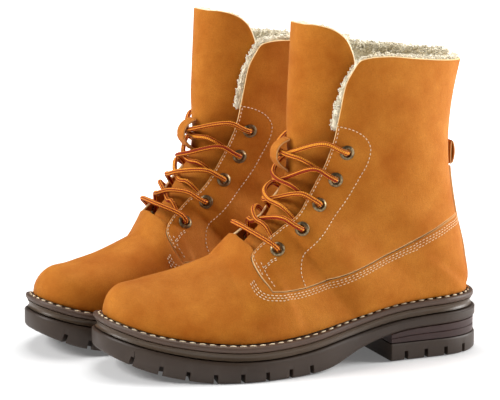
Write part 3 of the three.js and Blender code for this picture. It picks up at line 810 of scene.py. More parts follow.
def material(name, roughness, metallic=0.0, **sockets):
    made = bpy.data.materials.new(name)
    made.use_nodes = True
    shader = made.node_tree.nodes["Principled BSDF"]
    shader.inputs["Roughness"].default_value = roughness
    shader.inputs["Metallic"].default_value = metallic
    for key, value in sockets.items():
        shader.inputs[key.replace("_", " ").title().replace("Ior", "IOR")].default_value = value
    return made, made.node_tree, shader


def blended(tree, mask, dark, light):
    """A colour between two, chosen by a mask."""
    mix = add(tree, "ShaderNodeMix", {0: mask}, data_type="RGBA")
    for socket, value in ((mix.inputs[6], dark), (mix.inputs[7], light)):
        if isinstance(value, bpy.types.NodeSocket):
            tree.links.new(value, socket)
        else:
            socket.default_value = (*value[:3], 1)
    return mix.outputs[2]


def ranged(tree, value, low, high, to_low=0.0, to_high=1.0):
    ends = {"Value": value, "From Min": low, "From Max": high, "To Min": to_low, "To Max": to_high}
    return add(tree, "ShaderNodeMapRange", ends).outputs[0]


def coloured(tree, shader, mask, dark, light):
    """The shader's base colour, blended between two by a mask."""
    tree.links.new(blended(tree, mask, dark, light), shader.inputs["Base Color"])


def bumped(tree, shader, height, distance_m, strength):
    bump = add(tree, "ShaderNodeBump", {"Height": height, "Distance": distance_m, "Strength": strength})
    tree.links.new(bump.outputs[0], shader.inputs["Normal"])


def grained(tree, groups, grain, patches):
    node = add(tree, "ShaderNodeGroup", node_tree=groups["grain"])
    node.inputs[0].default_value = grain
    node.inputs[1].default_value = patches
    return node.outputs


def nubuck(groups, name, dark, light, cut):
    made, tree, shader = material(name, 0.8, sheen_weight=0.12, sheen_roughness=0.4, specular_ior_level=0.18)
    shader.inputs["Sheen Tint"].default_value = (1.0, 0.6, 0.25, 1)
    grain = grained(tree, groups, 1500.0, 34.0)
    body = blended(tree, ranged(tree, grain["Patches"], 0.25, 0.72), dark, light)
    specked = blended(tree, ranged(tree, grain["Specks"], 0.4, 0.7, 0.0, 0.4), body, (0.24, 0.07, 0.004))
    edge = add(tree, "ShaderNodeGroup", node_tree=groups["edge"])
    edge.inputs[0].default_value = 0.6
    coloured(tree, shader, edge.outputs[0], specked, cut)
    tree.links.new(ranged(tree, grain["Patches"], 0.3, 0.7, 0.86, 0.66), shader.inputs["Roughness"])
    bumped(tree, shader, grain["Height"], 0.0003, 0.6)
    return made


def moulded(groups, name, dark, light, roughness, grain_size=900.0, bump=0.00008):
    """Rubber, board and strip: one colour with slight patches and specks."""
    made, tree, shader = material(name, roughness, specular_ior_level=0.4)
    grain = grained(tree, groups, grain_size, 30.0)
    coloured(tree, shader, ranged(tree, grain["Patches"], 0.3, 0.7), dark, light)
    rough = ranged(tree, grain["Patches"], 0.3, 0.7, roughness + 0.08, roughness - 0.08)
    tree.links.new(rough, shader.inputs["Roughness"])
    bumped(tree, shader, grain["Height"], bump, 0.6)
    return made


def wool(groups, light):
    made, tree, shader = material("wool_fleece", 0.95, sheen_weight=0.6, sheen_roughness=0.6)
    grain = grained(tree, groups, 1500.0, 120.0)
    dark = tuple(c * f for c, f in zip(light, (0.84, 0.79, 0.7)))
    coloured(tree, shader, ranged(tree, grain["Patches"], 0.3, 0.65), dark, light)
    bumped(tree, shader, grain["Height"], 0.0006, 0.8)
    return made


def braid(gold, dark_red):
    """Round braid: gold and dark red strands along the lace, notched where they cross."""
    made, tree, shader = material("lace_braid", 0.7, specular_ior_level=0.15)
    place = add(tree, "ShaderNodeUVMap", uv_map="along")
    split = add(tree, "ShaderNodeSeparateXYZ", {0: place.outputs[0]})

    def wave(along, around):
        a = add(tree, "ShaderNodeMath", {0: split.outputs[0], 1: along}, operation="MULTIPLY")
        terms = {0: split.outputs[1], 1: around, 2: a.outputs[0]}
        b = add(tree, "ShaderNodeMath", terms, operation="MULTIPLY_ADD")
        turn = add(tree, "ShaderNodeMath", {0: b.outputs[0], 1: 2 * math.pi}, operation="MULTIPLY")
        return add(tree, "ShaderNodeMath", {0: turn.outputs[0]}, operation="SINE").outputs[0]

    strand = ranged(tree, wave(0.0, 3.0), -0.2, 0.1)
    notch = ranged(tree, wave(0.75, 3.0), 0.45, 0.85, 0.0, 0.8)
    knot = ranged(tree, wave(0.75, -6.0), 0.2, 0.9, 0.0, 0.6)
    golden = blended(tree, notch, gold, dark_red)
    red = blended(tree, knot, dark_red, tuple(c * 2.2 for c in dark_red))
    coloured(tree, shader, strand, red, golden)
    relief = add(tree, "ShaderNodeMath", {0: wave(0.5, 3.0), 1: wave(0.5, -3.0)}, operation="ADD")
    bumped(tree, shader, relief.outputs[0], 0.00012, 0.8)
    return made


def brass(groups, light):
    made, tree, shader = material("antique_brass", 0.36, metallic=1.0)
    grain = grained(tree, groups, 1200.0, 500.0)
    dark = tuple(c * 0.3 for c in light)
    coloured(tree, shader, ranged(tree, grain["Patches"], 0.35, 0.65), dark, light)
    tree.links.new(ranged(tree, grain["Patches"], 0.3, 0.7, 0.5, 0.3), shader.inputs["Roughness"])
    bumped(tree, shader, grain["Height"], 0.00003, 0.5)
    return made


def steel(groups):
    made, tree, shader = material("shank_steel", 0.35, metallic=1.0)
    grain = grained(tree, groups, 1800.0, 90.0)
    coloured(tree, shader, grain["Patches"], (0.42, 0.42, 0.43), (0.62, 0.62, 0.63))
    bumped(tree, shader, grain["Height"], 0.00003, 0.5)
    return made


FINISHES = {}


def finishes():
    """Makes every finish once, from the panel's colours."""
    if FINISHES:
        return FINISHES
    scene = bpy.context.scene
    leather, sole, trim = scene.boots_leather, scene.boots_sole, scene.boots_trim
    groups = {"grain": grain_group(), "edge": edge_group()}
    rubber = tuple(sole.rubber_colour)
    stack = tuple(sole.stack_colour)
    middle = tuple(sole.midsole_colour)
    strip = tuple(sole.welt_colour)
    thread = tuple(trim.thread_colour)
    FINISHES.update(
        nubuck=nubuck(groups, "wheat_nubuck", tuple(leather.shade_colour), tuple(leather.nubuck_colour),
                      tuple(leather.edge_colour)),
        rubber=moulded(groups, "outsole_rubber", tuple(c * 0.8 for c in rubber), rubber, 0.5),
        stack=moulded(groups, "stack_rubber", tuple(c * 0.8 for c in stack), stack, 0.45),
        midsole=moulded(groups, "midsole_rubber", tuple(c * 0.85 for c in middle), middle, 0.38),
        welt=moulded(groups, "welt_strip", tuple(c * 0.8 for c in strip), strip, 0.5),
        board=moulded(groups, "fibre_board", (0.3, 0.2, 0.11), (0.42, 0.3, 0.18), 0.85, 500.0, 0.0002),
        thread=moulded(groups, "waxed_thread", tuple(c * 0.8 for c in thread), thread, 0.6, 3000.0, 0.00005),
        wool=wool(groups, tuple(trim.wool_colour)),
        braid=braid(tuple(trim.lace_colour), tuple(trim.lace_stripe)),
        brass=brass(groups, tuple(trim.brass_colour)),
        steel=steel(groups),
    )
    return FINISHES


# Sole parts: a profile run round the plan, with both faces closed across
def plan_loop(inset, start=None, count=110):
    toe, heel = TOE + inset, HEEL - inset
    k = np.linspace(0, 1, count)
    if start is None:
        y = toe + 0.01 + (heel - toe - 0.02) * (1 - np.cos(np.pi * k)) / 2
    else:
        y = start + (heel - 0.01 - start) * np.sin(np.pi / 2 * k)
    w = plan(y, inset)
    c = centre(y)
    return np.concatenate((np.stack((c + w, y), -1), np.stack((c - w, y), -1)[::-1]))


def sole_part(profile, low, high, start=None, ring=False):
    """Profile points are (inset, share of the height, extra height)."""
    loops = [plan_loop(inset, start) for inset, _, _ in profile]
    n = len(loops[0])
    points = []
    for loop, (_, share, extra) in zip(loops, profile):
        y = loop[:, 1]
        z = low(y) * (1 - share) + high(y) * share + extra
        points.append(np.column_stack((loop, z)))
    faces = grid_faces(len(profile), n, ring, True)
    if not ring:
        half = n // 2
        top = (len(profile) - 1) * n
        for i in range(half - 1):
            j = n - 1 - i
            faces.append((j, j - 1, i + 1, i))
            faces.append((top + i, top + i + 1, top + j - 1, top + j))
    return np.concatenate(points), faces


def lowered(curve, by):
    return lambda y: curve(y) - by


def level(height):
    return lambda y: np.full_like(y, height)


def box_points(centre_at, size, turn, tilt):
    corners = np.array([(x, y, z) for x in (-1, 1) for y in (-1, 1) for z in (-1, 1)]) * np.array(size) / 2
    spin = np.array((Matrix.Rotation(turn, 3, "Z") @ Matrix.Rotation(tilt, 3, "X")))
    return corners @ spin.T + np.array(centre_at)


BOX_FACES = [(0, 1, 3, 2), (4, 6, 7, 5), (0, 4, 5, 1), (2, 3, 7, 6), (0, 2, 6, 4), (1, 5, 7, 3)]


def grooves(places, low, start, stop):
    """Cutters for the slots at the sole's edge and the channels of its tread."""
    boxes = []
    for y in places:
        rise_angle = math.atan(float(low(y + 2) - low(y - 2)) / 4)
        for side in (1, -1):
            slope = math.atan(float(plan(y + 1, 0) - plan(y - 1, 0)) / 2)
            at = (float(centre(y) + side * plan(y, 0)), y, float(low(y)))
            size = (SLOT_DEEP * 2, SLOT_WIDE, SLOT_HIGH * 2)
            boxes.append(box_points(at, size, -side * slope, rise_angle))
    for y in np.arange(start, stop, TREAD_PITCH):
        rise_angle = math.atan(float(low(y + 8) - low(y - 8)) / 16)
        for side in (1, -1):
            ahead, here, behind = (centre(v) + side * plan(v, 0) * TREAD_SHARE for v in (y + 8, y, y - 8))
            way = math.atan(float(ahead - behind) / 16)
            boxes.append(box_points((float(here), y, float(low(y))), (3.2, 14.0, 8.0), -way, rise_angle))
        v = y + TREAD_PITCH / 2
        across = (float(plan(v, 0)) * 2 * TREAD_SHARE, 2.6, 6.0)
        boxes.append(box_points((float(centre(v)), v, float(low(v))), across, 0.0, rise_angle))
    points, faces = [], []
    for k, box in enumerate(boxes):
        points.append(box)
        faces += [tuple(8 * k + i for i in face) for face in BOX_FACES]
    return np.concatenate(points), faces


def carved(boot, piece, cutter_points, cutter_faces):
    """Cuts the grooves and rounds every sharp edge a little."""
    cutter = built(boot, "cutter", cutter_points, cutter_faces, FINISHES["rubber"])
    cut = piece.modifiers.new("grooves", "BOOLEAN")
    cut.operation = "DIFFERENCE"
    cut.solver = "EXACT"
    cut.use_self = True
    cut.object = cutter
    soften = piece.modifiers.new("soften", "BEVEL")
    soften.width = SOLE_BEVEL * MM
    soften.segments = 2
    soften.limit_method = "ANGLE"
    soften.angle_limit = math.radians(35)
    graph = bpy.context.evaluated_depsgraph_get()
    graph.update()
    mesh = bpy.data.meshes.new_from_object(piece.evaluated_get(graph), depsgraph=graph)
    piece.modifiers.clear()
    piece.data = mesh
    mesh.shade_smooth()
    mesh.set_sharp_from_angle(angle=math.radians(32))
    bpy.data.objects.remove(cutter)


def build_soles(sizes):
    done = finishes()
    nothing = level(0.0)
    r = sizes.edge_radius / MM
    for boot in BOOTS:
        wall = [(r * 1.2, 0, 0), (0.25, 0, r), (0, 0.12, 0.5), (0, 0.86, 0), (0.35, 1, -1.0), (1.1, 1, -0.15),
                (1.9, 1, 0)]
        points, faces = sole_part(wall, ground_z, rim_z)
        outsole = built(boot, "outsole", points, faces, done["rubber"])
        carved(boot, outsole, *grooves(LUG_SLOTS, ground_z, -132, -10))
        settled(outsole, boot.body(), "outsole_rubber", boot.body("outsole"))

        wall = [(r, 0, 0), (0.15, 0, r), (0, 0.2, 0), (0, 0.9, 0), (0.6, 1, 0)]
        points, faces = sole_part(wall, nothing, level(LIFT_HEIGHT), BREAST)
        lift = built(boot, "heel_lift", points, faces, done["rubber"])
        carved(boot, lift, *grooves(LIFT_SLOTS, nothing, 66, 112))
        settled(lift, boot.body(), "outsole_rubber", boot.body("heel_lift"))

        wall = []
        for a, b in ((0, 0.5), (0.5, 1)):
            wall += [(STACK_IN + 0.7, a, 0.12), (STACK_IN + 0.1, a, 0.5), (STACK_IN, (a + b) / 2, 0),
                     (STACK_IN + 0.1, b, -0.5), (STACK_IN + 0.7, b, -0.12)]
        low, high = level(LIFT_HEIGHT + GAP), lowered(ground_z, GAP)
        points, faces = sole_part(wall, low, high, BREAST + 0.6)
        stack = built(boot, "heel_stack", points, faces, done["stack"])
        settled(stack, boot.body(), "stack_rubber", boot.body("heel_stack"))

        low, high = lowered(rim_z, -GAP), lowered(feather_z, WELT_THICK + GAP)
        m = MIDSOLE_IN
        wall = [(m + 1.2, 0, 0.1), (m, 0, 1.0), (m - 0.1, 0.14, 0), (m + 0.7, 0.26, 0), (m + 1.15, 0.45, 0),
                (m + 1.0, 0.66, 0), (m + 0.2, 0.84, 0), (m - 0.1, 0.93, 0), (m + 0.6, 1, -0.1),
                (m + 1.4, 1, 0)]
        points, faces = sole_part(wall, low, high)
        midsole = built(boot, "midsole", points, faces, done["midsole"])
        settled(midsole, boot.body(), "midsole_rubber", boot.body("midsole"))

        w = WELT_EDGE_IN
        ring = [(w + 0.9, 0, 0), (w + 0.1, 0, 0.9), (w - 0.1, 0.5, 0), (w + 0.1, 1, -0.9), (w + 0.9, 1, -0.1),
                (w + 2.1, 1, 0.1), (w + 2.6, 1, -0.35), (w + 4.6, 1, -0.35), (w + 5.1, 1, 0), (w + 7, 1, 0.1),
                (BOARD_IN, 1, 0), (BOARD_IN, 0, 0)]
        points, faces = sole_part(ring, lowered(feather_z, WELT_THICK), feather_z, ring=True)
        welt = built(boot, "welt", points, faces, done["welt"])
        settled(welt, boot.body(), "welt_strip", boot.body("welt"))


def build_uppers(sizes):
    done = finishes()
    step = sizes.mesh_step / MM
    lap = sizes.seam_step / MM
    fox = np.concatenate([traced(FOXING, side) for side in (1, -1)])

    def vamp_outer(uv):
        near = np.full(len(uv), 1e9)
        for k in range(0, len(fox), 3):
            near = np.minimum(near, np.hypot(*(uv - fox[k]).T))
        return -lap * np.exp(-((near / 16) ** 2))

    loops = {"vamp": (vamp_loop(), vamp_outer)}
    for name, side in (("quarter_lateral", 1), ("quarter_medial", -1)):
        loops[name] = (quarter_loop(side), 0.0)
    hole = EYELET_HOLE_R + 0.7
    circle = np.linspace(0, 2 * np.pi, 19)[:-1]
    for name, (loop, outer) in loops.items():
        holes = []
        if name != "vamp":
            side = 1 if name.endswith("lateral") else -1
            for row in range(len(EYELETS)):
                at = flat(*[np.array([v]) for v in SEATS[side, row]], side)[0]
                holes.append(at + hole * np.stack((np.cos(circle), np.sin(circle)), -1))
        points, faces, kept = panel(loop, outer, LEATHER, step, LEATHER / 2, holes)
        if name == "vamp":
            kept["edge_gap"] = kept["edge_gap"] + 0.4
        for boot in BOOTS:
            piece = built(boot, name, points, faces, done["nubuck"], math.radians(60), kept)
            settled(piece, boot.body(), "nubuck", boot.body(name))
    top = TAB_Z - 2.6
    t_top = float(np.interp(top, end_z(np.linspace(5, 9, 90)), np.linspace(5, 9, 90)))
    rows = np.linspace(4.99, t_top, 46)
    half = BACKSTAY_HALF
    points, faces = [], []
    across = np.concatenate((np.linspace(-half, -half + 1.2, 4), np.linspace(-half + 2, half - 2, 11),
                             np.linspace(half - 1.2, half, 4)))
    edge = np.clip((half - np.abs(across)) / 0.9, 0, 1)
    rounding = 0.62 * (1 - np.sqrt(1 - (1 - edge) ** 2))
    for depth in (rounding - BACKSTAY_OUT, np.full_like(across, -GAP - 0.05)):
        for t in rows:
            points.append(surface(t, heel_share(t, across), np.where(across >= 0, 1, -1), depth))
    n, m = len(across), len(rows)
    points = np.concatenate(points)
    for a, b, c, d in grid_faces(m, n):
        faces += [(a, b, c, d), (m * n + a, m * n + d, m * n + c, m * n + b)]
    rim = [*range(n)] + [i * n + n - 1 for i in range(1, m)]
    rim += [(m - 1) * n + j for j in range(n - 2, -1, -1)] + [i * n for i in range(m - 2, 0, -1)]
    for a, b in zip(rim, rim[1:] + rim[:1]):
        faces.append((b, a, m * n + a, m * n + b))
    gap = np.tile(half - np.abs(across), 2 * m) + EDGE_DARK
    for boot in BOOTS:
        piece = built(boot, "backstay", points, faces, done["nubuck"], math.radians(60), {"edge_gap": gap})
        settled(piece, boot.body(), "nubuck", boot.body("backstay"))


def tube_faces(rows, around):
    """Faces of a closed tube with flat ends."""
    last = (rows - 1) * around
    ends = [tuple(range(around - 1, -1, -1)), tuple(last + j for j in range(around))]
    return grid_faces(rows, around, round_columns=True) + ends


def swept(path, across, outline):
    """A strap along a path: outline points are (across, out) about each path point."""
    path = np.asarray(path, float)
    way = np.gradient(path, axis=0)
    way = way / np.linalg.norm(way, axis=1, keepdims=True)
    out = np.cross(way, across)
    points = [p + across * a + n * b for p, n in zip(path, out) for a, b in outline]
    return np.array(points), tube_faces(len(path), len(outline))


def strap_outline(half, thick, corner):
    points = []
    for x, y, start in ((1, 1, 0), (-1, 1, 90), (-1, -1, 180), (1, -1, 270)):
        for a in np.radians(start + np.linspace(0, 90, 4)):
            across = x * (half - corner) + corner * math.cos(a)
            points.append((across, y * (thick / 2 - corner) + corner * math.sin(a)))
    return points


def strap_gaps(points, wide):
    """Distance from a strap's nearer cut edge."""
    return {"edge_gap": wide / 2 - np.abs(points[:, 0]) + EDGE_DARK}


def keeper_line():
    foot, head, reach = 4.32, 5.9, 9.9
    u = np.linspace(0, 1, 28)
    dy, dz = stations(foot + (head - foot) * u, TONGUE_IN)[:2]
    bulge = GAP + 0.9 + reach * np.sin(np.pi * np.clip((u - 0.06) / 0.88, 0, 1)) ** 0.6
    return np.stack((np.zeros_like(u), dy - bulge * 0.97, dz + bulge * 0.1), -1)


def build_tongues(sizes):
    done = finishes()
    step = sizes.tongue_step / MM
    front, back = TONGUE_IN, TONGUE_IN + TONGUE_LEATHER
    leather = panel(tongue_loop(), front, back, step, 0.8)
    wool = panel(tongue_loop(0.6), back + 0.1, TONGUE_BACK, step * 0.75, 1.0, bump=boucle(1.0, 5.2))
    outline = strap_outline(KEEPER_WIDE / 2, STRAP_THICK, STRAP_CORNER)
    strap_points, strap_faces = swept(keeper_line(), np.array((1.0, 0, 0)), outline)
    tree = pile_tree()
    for boot in BOOTS:
        low = boot.place([(0, -16, FLAP_FOLD_Z - 7)])[0]
        high = boot.place([(0, -16, FLAP_FOLD_Z + 7)])[0]
        face = built(boot, "tongue_leather", *leather[:2], done["nubuck"], math.radians(60), leather[2])
        boot.body()
        boot.body("flap")
        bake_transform(face)
        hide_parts(boot.body("tongue"), boot.body("tongue_flap"))
        fleece = built(boot, "tongue_fleece", *wool[:2], done["wool"], math.radians(180))
        tufts = edge_tufts(boot, "tongue_tufts", tongue_loop(0.2), back + 1.2, tree, sizes)
        for piece in (fleece, tufts):
            boot.body()
            boot.body("flap")
            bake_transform(piece)
        strap = built(boot, "lace_keeper", strap_points, strap_faces, done["nubuck"],
                      attributes=strap_gaps(strap_points, KEEPER_WIDE))
        settled(strap, boot.body(), "nubuck", boot.body("lace_keeper"))


def boucle(height, size):
    """Knotty relief of curly pile: a sum of waves in fixed directions."""
    rng = np.random.default_rng(11)
    ways = rng.normal(size=(14, 3))
    ways *= (2 * np.pi / size * rng.uniform(0.7, 1.5, 14) / np.linalg.norm(ways, axis=1))[:, None]
    shifts = rng.uniform(0, 2 * np.pi, 14)

    def relief(points):
        total = np.sin(points @ ways.T + shifts).sum(1) / math.sqrt(14)
        return height * np.clip(total, -1.6, 1.6) * 0.6

    return relief


def edge_tufts(boot, name, loop, depth, tree, sizes):
    """Curls along an edge of the fleece, standing a little past it."""
    band = 3.0
    ring = spaced(np.vstack((loop, loop[:1])), PILE_STEP)
    inner = aside(ring, band * np.sign(area_of(loop)))
    rows = [ring, (ring + inner) / 2, inner]
    points = np.concatenate([surface(*rolled(row), depth) for row in rows])
    return curled(boot, name, points, grid_faces(len(rows), len(ring)), tree, sizes, 5)


def curled(boot, name, points, faces, tree, sizes, seed, share=1.0):
    piece = built(boot, name, points, faces, FINISHES["wool"])
    values = {
        "Curls per square metre": sizes.curls * share,
        "Curl Radius": sizes.curl_radius,
        "Strand": sizes.strand,
        "Rise": sizes.curl_radius * 1.8,
        "Seed": seed,
        "Material": FINISHES["wool"],
    }
    return grown(piece, tree, values)


def collar_roll(side):
    """Fleece standing past the edge of the collar, higher on the inner half and at the front."""
    line = spaced(traced([FACING[-1], *COLLAR], side), PILE_STEP)
    outwards = -1 if side > 0 else 1
    along = np.arange(len(line)) * PILE_STEP
    front = np.clip(1.7 - along / 30, 0, 1)
    top, reach = (0.3, 2.9) if side < 0 else (-1.8, 2.8)
    past = top + (2.0 - top) * front
    around = 8
    grid = []
    for angle in np.linspace(0, 2 * np.pi, around, endpoint=False):
        moved = [aside(line, outwards * (p + reach * math.cos(angle)))[k] for k, p in enumerate(past)]
        grid.append(surface(*rolled(np.array(moved)), 4.6 + 1.9 * math.sin(angle)))
    n = len(line)
    relief = boucle(0.9, 4.0)
    points = np.concatenate(grid)
    points[:, 2] += relief(points)
    points[:, 0] += relief(points[:, ::-1])
    faces = grid_faces(around, n, round_rows=True)
    faces += [tuple(r * n for r in range(around)), tuple(r * n + n - 1 for r in range(around - 1, -1, -1))]
    return points, faces


def build_linings(sizes):
    done = finishes()
    curly = boucle(1.3, 5.5)
    points, faces, _ = panel(lining_loop(), LINING_OUT, LINING_IN, 2.3, 1.3, bump=curly)
    collar = np.concatenate([
        traced(shifted(COLLAR, 0.6, 1.2), 1, LINING_OUT)[::-1],
        traced(shifted(COLLAR, 0.6, 1.2), -1, LINING_OUT),
    ])
    half = len(collar) // 2
    bands_at = ((1.2, 6.4), (3.0, 7.6), (6, 7.8), (9.5, 7.6), (14, 7.4), (20, 7.2))
    tree = pile_tree()
    for boot in BOOTS:
        lining = built(boot, "shaft_lining", points, faces, done["wool"], math.radians(180))
        settled(lining, boot.body(), "fleece", boot.body("shaft_lining"))
        for k, (name, side) in enumerate((("collar_pile_lateral", 1), ("collar_pile_medial", -1))):
            line = spaced(collar[:half] if side > 0 else collar[half:][::-1], PILE_STEP)
            t, s, c = rolled(line)
            bands = [surface(t - down * 0.036, s, c, depth) for down, depth in bands_at]
            sheet = grid_faces(len(bands), len(line))
            pile = curled(boot, name, np.concatenate(bands), sheet, tree, sizes, 3 + k, 0.5)
            settled(pile, boot.body(), "fleece")
            roll_points, roll_faces = collar_roll(side)
            end = "lateral" if side > 0 else "medial"
            roll = built(boot, "collar_roll_" + end, roll_points, roll_faces, done["wool"], math.radians(180))
            settled(roll, boot.body(), "fleece")
            fluff = curled(boot, "collar_fluff_" + end, roll_points, roll_faces, tree, sizes, 7 + k, 1.6)
            settled(fluff, boot.body(), "fleece")
        bed_in = FEATHER_IN + LINING_IN + 5.4
        wall = [(bed_in + 1.5, 0, 0), (bed_in + 0.3, 0, 0.8), (bed_in, 0.5, 0), (bed_in + 0.6, 1, -0.5),
                (bed_in + 2, 1, 0.1)]
        low, high = lowered(feather_z, -GAP), lowered(feather_z, -4.8)
        pad_points, pad_faces = sole_part(wall, low, high)
        bed = built(boot, "footbed", pad_points, pad_faces, done["wool"])
        settled(bed, boot.body(), "fleece", boot.body("footbed"))


def build_stitching(sizes):
    """Every row of thread of a boot, in two pieces: the upper's and the welt's."""
    done = finishes()
    rows = []
    for side in (1, -1):
        fox = traced([*FOXING, (-43, 59.8), (-46.4, 62.4), (-48, 67)], side)
        flip = 1 if side > 0 else -1
        for k, inside_by in enumerate((2.0, 3.6, 5.2)):
            rows.append((aside(fox, flip * -inside_by), -0.72 + 0.04 * k))
        front = traced(FACING[1:], side)
        rows.append((aside(front, flip * 1.9), -0.1))
        rows.append((traced(STAY, side), -0.1))
        corner = traced([(-38.2, 62.5), (-41.6, 69), (-43.8, 77)], side)
        rows.append((aside(corner, flip * 1.4), -0.1))
        tack = traced([(-41, 76), (-37, 79.5), (-33.5, 81)], side)
        rows.append((tack, -0.1))
        rows.append((aside(tack, flip * 1.3), -0.1))
    spans = []
    for line, depth in rows:
        line = spaced(line, 0.7)
        spans.append(surface(*rolled(line), depth))
    for x in (-8.4, 8.4):
        t = np.linspace(5.02, 7.85, 90)
        spans.append(surface(t, heel_share(t, x), np.sign(x), -BACKSTAY_OUT - 0.02))
    tree = stitch_tree()
    w = WELT_EDGE_IN + 3.6
    loop = plan_loop(w, count=220)
    ring = np.column_stack((loop, feather_z(loop[:, 1]) + 0.12))
    ring = np.vstack((ring, ring[:1]))
    for boot in BOOTS:
        for name, lines, pitch, long, thick, slot_name in (
            ("upper_stitching", spans, sizes.pitch, sizes.stitch, sizes.thread, "nubuck"),
            ("welt_stitching", [ring], sizes.welt_pitch, sizes.welt_stitch, sizes.welt_thread, "welt_strip"),
        ):
            points, edges = [], []
            for line in lines:
                first = len(points)
                points.extend(boot.place(line).tolist())
                edges.extend((first + i, first + i + 1) for i in range(len(line) - 1))
            mesh = bpy.data.meshes.new(name)
            mesh.from_pydata(points, edges, [])
            piece = new_piece(boot.body(name), mesh, done["thread"])
            grown(piece, tree, {"Pitch": pitch, "Stitch": long, "Thread": thick, "Material": done["thread"]})
            settled(piece, boot.body(), slot_name)


def lathe(profile):
    """A turned ring from a closed profile of (radius, height)."""
    count = 28
    angles = np.linspace(0, 2 * np.pi, count, endpoint=False)
    points = [(r * math.cos(a), r * math.sin(a), z) for a in angles for r, z in profile]
    return np.array(points), grid_faces(count, len(profile), True, True)


def build_eyelets(sizes):
    done = finishes()
    r, hole, low = sizes.flange / 2 / MM, EYELET_HOLE_R, -LEATHER - 0.5
    profile = [(hole, low), (hole + 0.5, low), (hole + 0.5, 0.1), (r - 0.1, 0.1), (r, 0.3), (r - 0.3, 0.62),
               (r - 0.9, 0.85), (hole + 1.3, 0.98), (hole + 0.9, 1.28), (hole + 0.35, 1.2),
               (hole + 0.05, 0.75), (hole, 0.2)]
    points, faces = lathe(profile)
    if volume(points, faces) < 0:
        faces = [tuple(reversed(face)) for face in faces]
    mesh = bpy.data.meshes.new("eyelet")
    mesh.from_pydata((points * MM).tolist(), [], faces)
    mesh.shade_smooth()
    part = bpy.data.objects.new("eyelet_pattern", mesh)
    bpy.context.scene.collection.objects.link(part)
    tree = rivet_tree()
    for boot in BOOTS:
        keys = sorted(SEATS)
        at = boot.place([seat_point(*key) for key in keys])
        out = boot.direction([normal(*SEATS[key], key[0]) for key in keys])
        mesh = bpy.data.meshes.new("eyelets")
        mesh.from_pydata(at.tolist(), [], [])
        facing = mesh.attributes.new("facing", "FLOAT_VECTOR", "POINT")
        facing.data.foreach_set("vector", out.astype(np.float32).ravel())
        piece = new_piece(boot.body("eyelets"), mesh, done["brass"])
        grown(piece, tree, {"Part": part, "Material": done["brass"]})
        names = [f"eyelet_{half}_{row}" for half in ("lateral", "medial") for row in range(1, 6)]
        settled(piece, boot.body(), "eyelet_brass", *[boot.body(name) for name in names])
    bpy.data.objects.remove(part)


# Lace route: across the outside at the lowest pair, then crossing upwards, in at every eyelet
OVER = 1.1 + GAP + LACE_HALF + 0.1
UNDER = LEATHER + GAP + LACE_HALF + 0.4
CROSS_T = (2.55, 3.17, 3.86, 5)
BAR_T = 2.0
BAR_X = 11.0
UP_CENTRE = TONGUE_IN - GAP - LACE_HALF - 0.9
ON_TOP = UP_CENTRE - 2 * LACE_HALF - GAP - 0.1
edge_share = smooth(list(zip(*locate(FACING[3:]))))


def lifted(t, s, side, height):
    return surface(t, s, side) + normal(t, s, side) * height


def front_point(t, inset, x):
    dy, dz = stations(t, inset)[:2]
    return np.array((x, float(dy), float(dz)))


def through(side, row, start, end):
    """Down through an eyelet, coming from one way and leaving the other."""
    at, out = seat_point(side, row), normal(*SEATS[side, row], side)

    def level(p):
        d = p - at
        d = d - out * float(d @ out)
        return d / np.linalg.norm(d)

    a, b = level(start), level(end)
    steps = ((a, 6, OVER + 0.1), (a, 2.4, OVER), (a, 0.5, OVER - 0.9), (a, 0, -0.5), (b, 0.6, 0.8 - UNDER),
             (b, 2.6, -UNDER - 0.2), (b, 6, -UNDER - 0.1))
    return [at + way * along + out * height for way, along, height in steps]


def crossing(side, row):
    """From under the facing at this row to over the opposite facing at the next."""
    t = SEATS[side, row][0]
    over_t = SEATS[-side, row + 1][0]
    mid = CROSS_T[row]
    inset = ON_TOP if side > 0 else UP_CENTRE
    t0 = t + (mid - t) * 0.3
    return [
        lifted(t0, edge_share(t0) * 1.1, side, -UNDER),
        lifted(t + (mid - t) * 0.6, edge_share(t) * 0.5, side, -UNDER + 1.6),
        front_point(mid - 0.06, inset, side * 7),
        front_point(mid + 0.12, inset, -side * 7),
        lifted(over_t - 0.1, edge_share(over_t) * 0.85, -side, LACE_HALF + GAP + 1.2),
    ]


def lace_half(side):
    points = []
    here = side
    start = front_point(BAR_T, -LACE_HALF - 1, 0)
    for row in range(len(EYELETS)):
        if row == len(EYELETS) - 1:
            t, s = locate(TAIL)
            tail = [lifted(a, b, here, -UNDER - 0.1) for a, b in zip(t, s)]
            points += through(here, row, start, tail[0])[:-1] + tail
        else:
            after = crossing(here, row)
            points += through(here, row, start, after[0])[:-1] + after
            start = after[4]
            here = -here
    return points


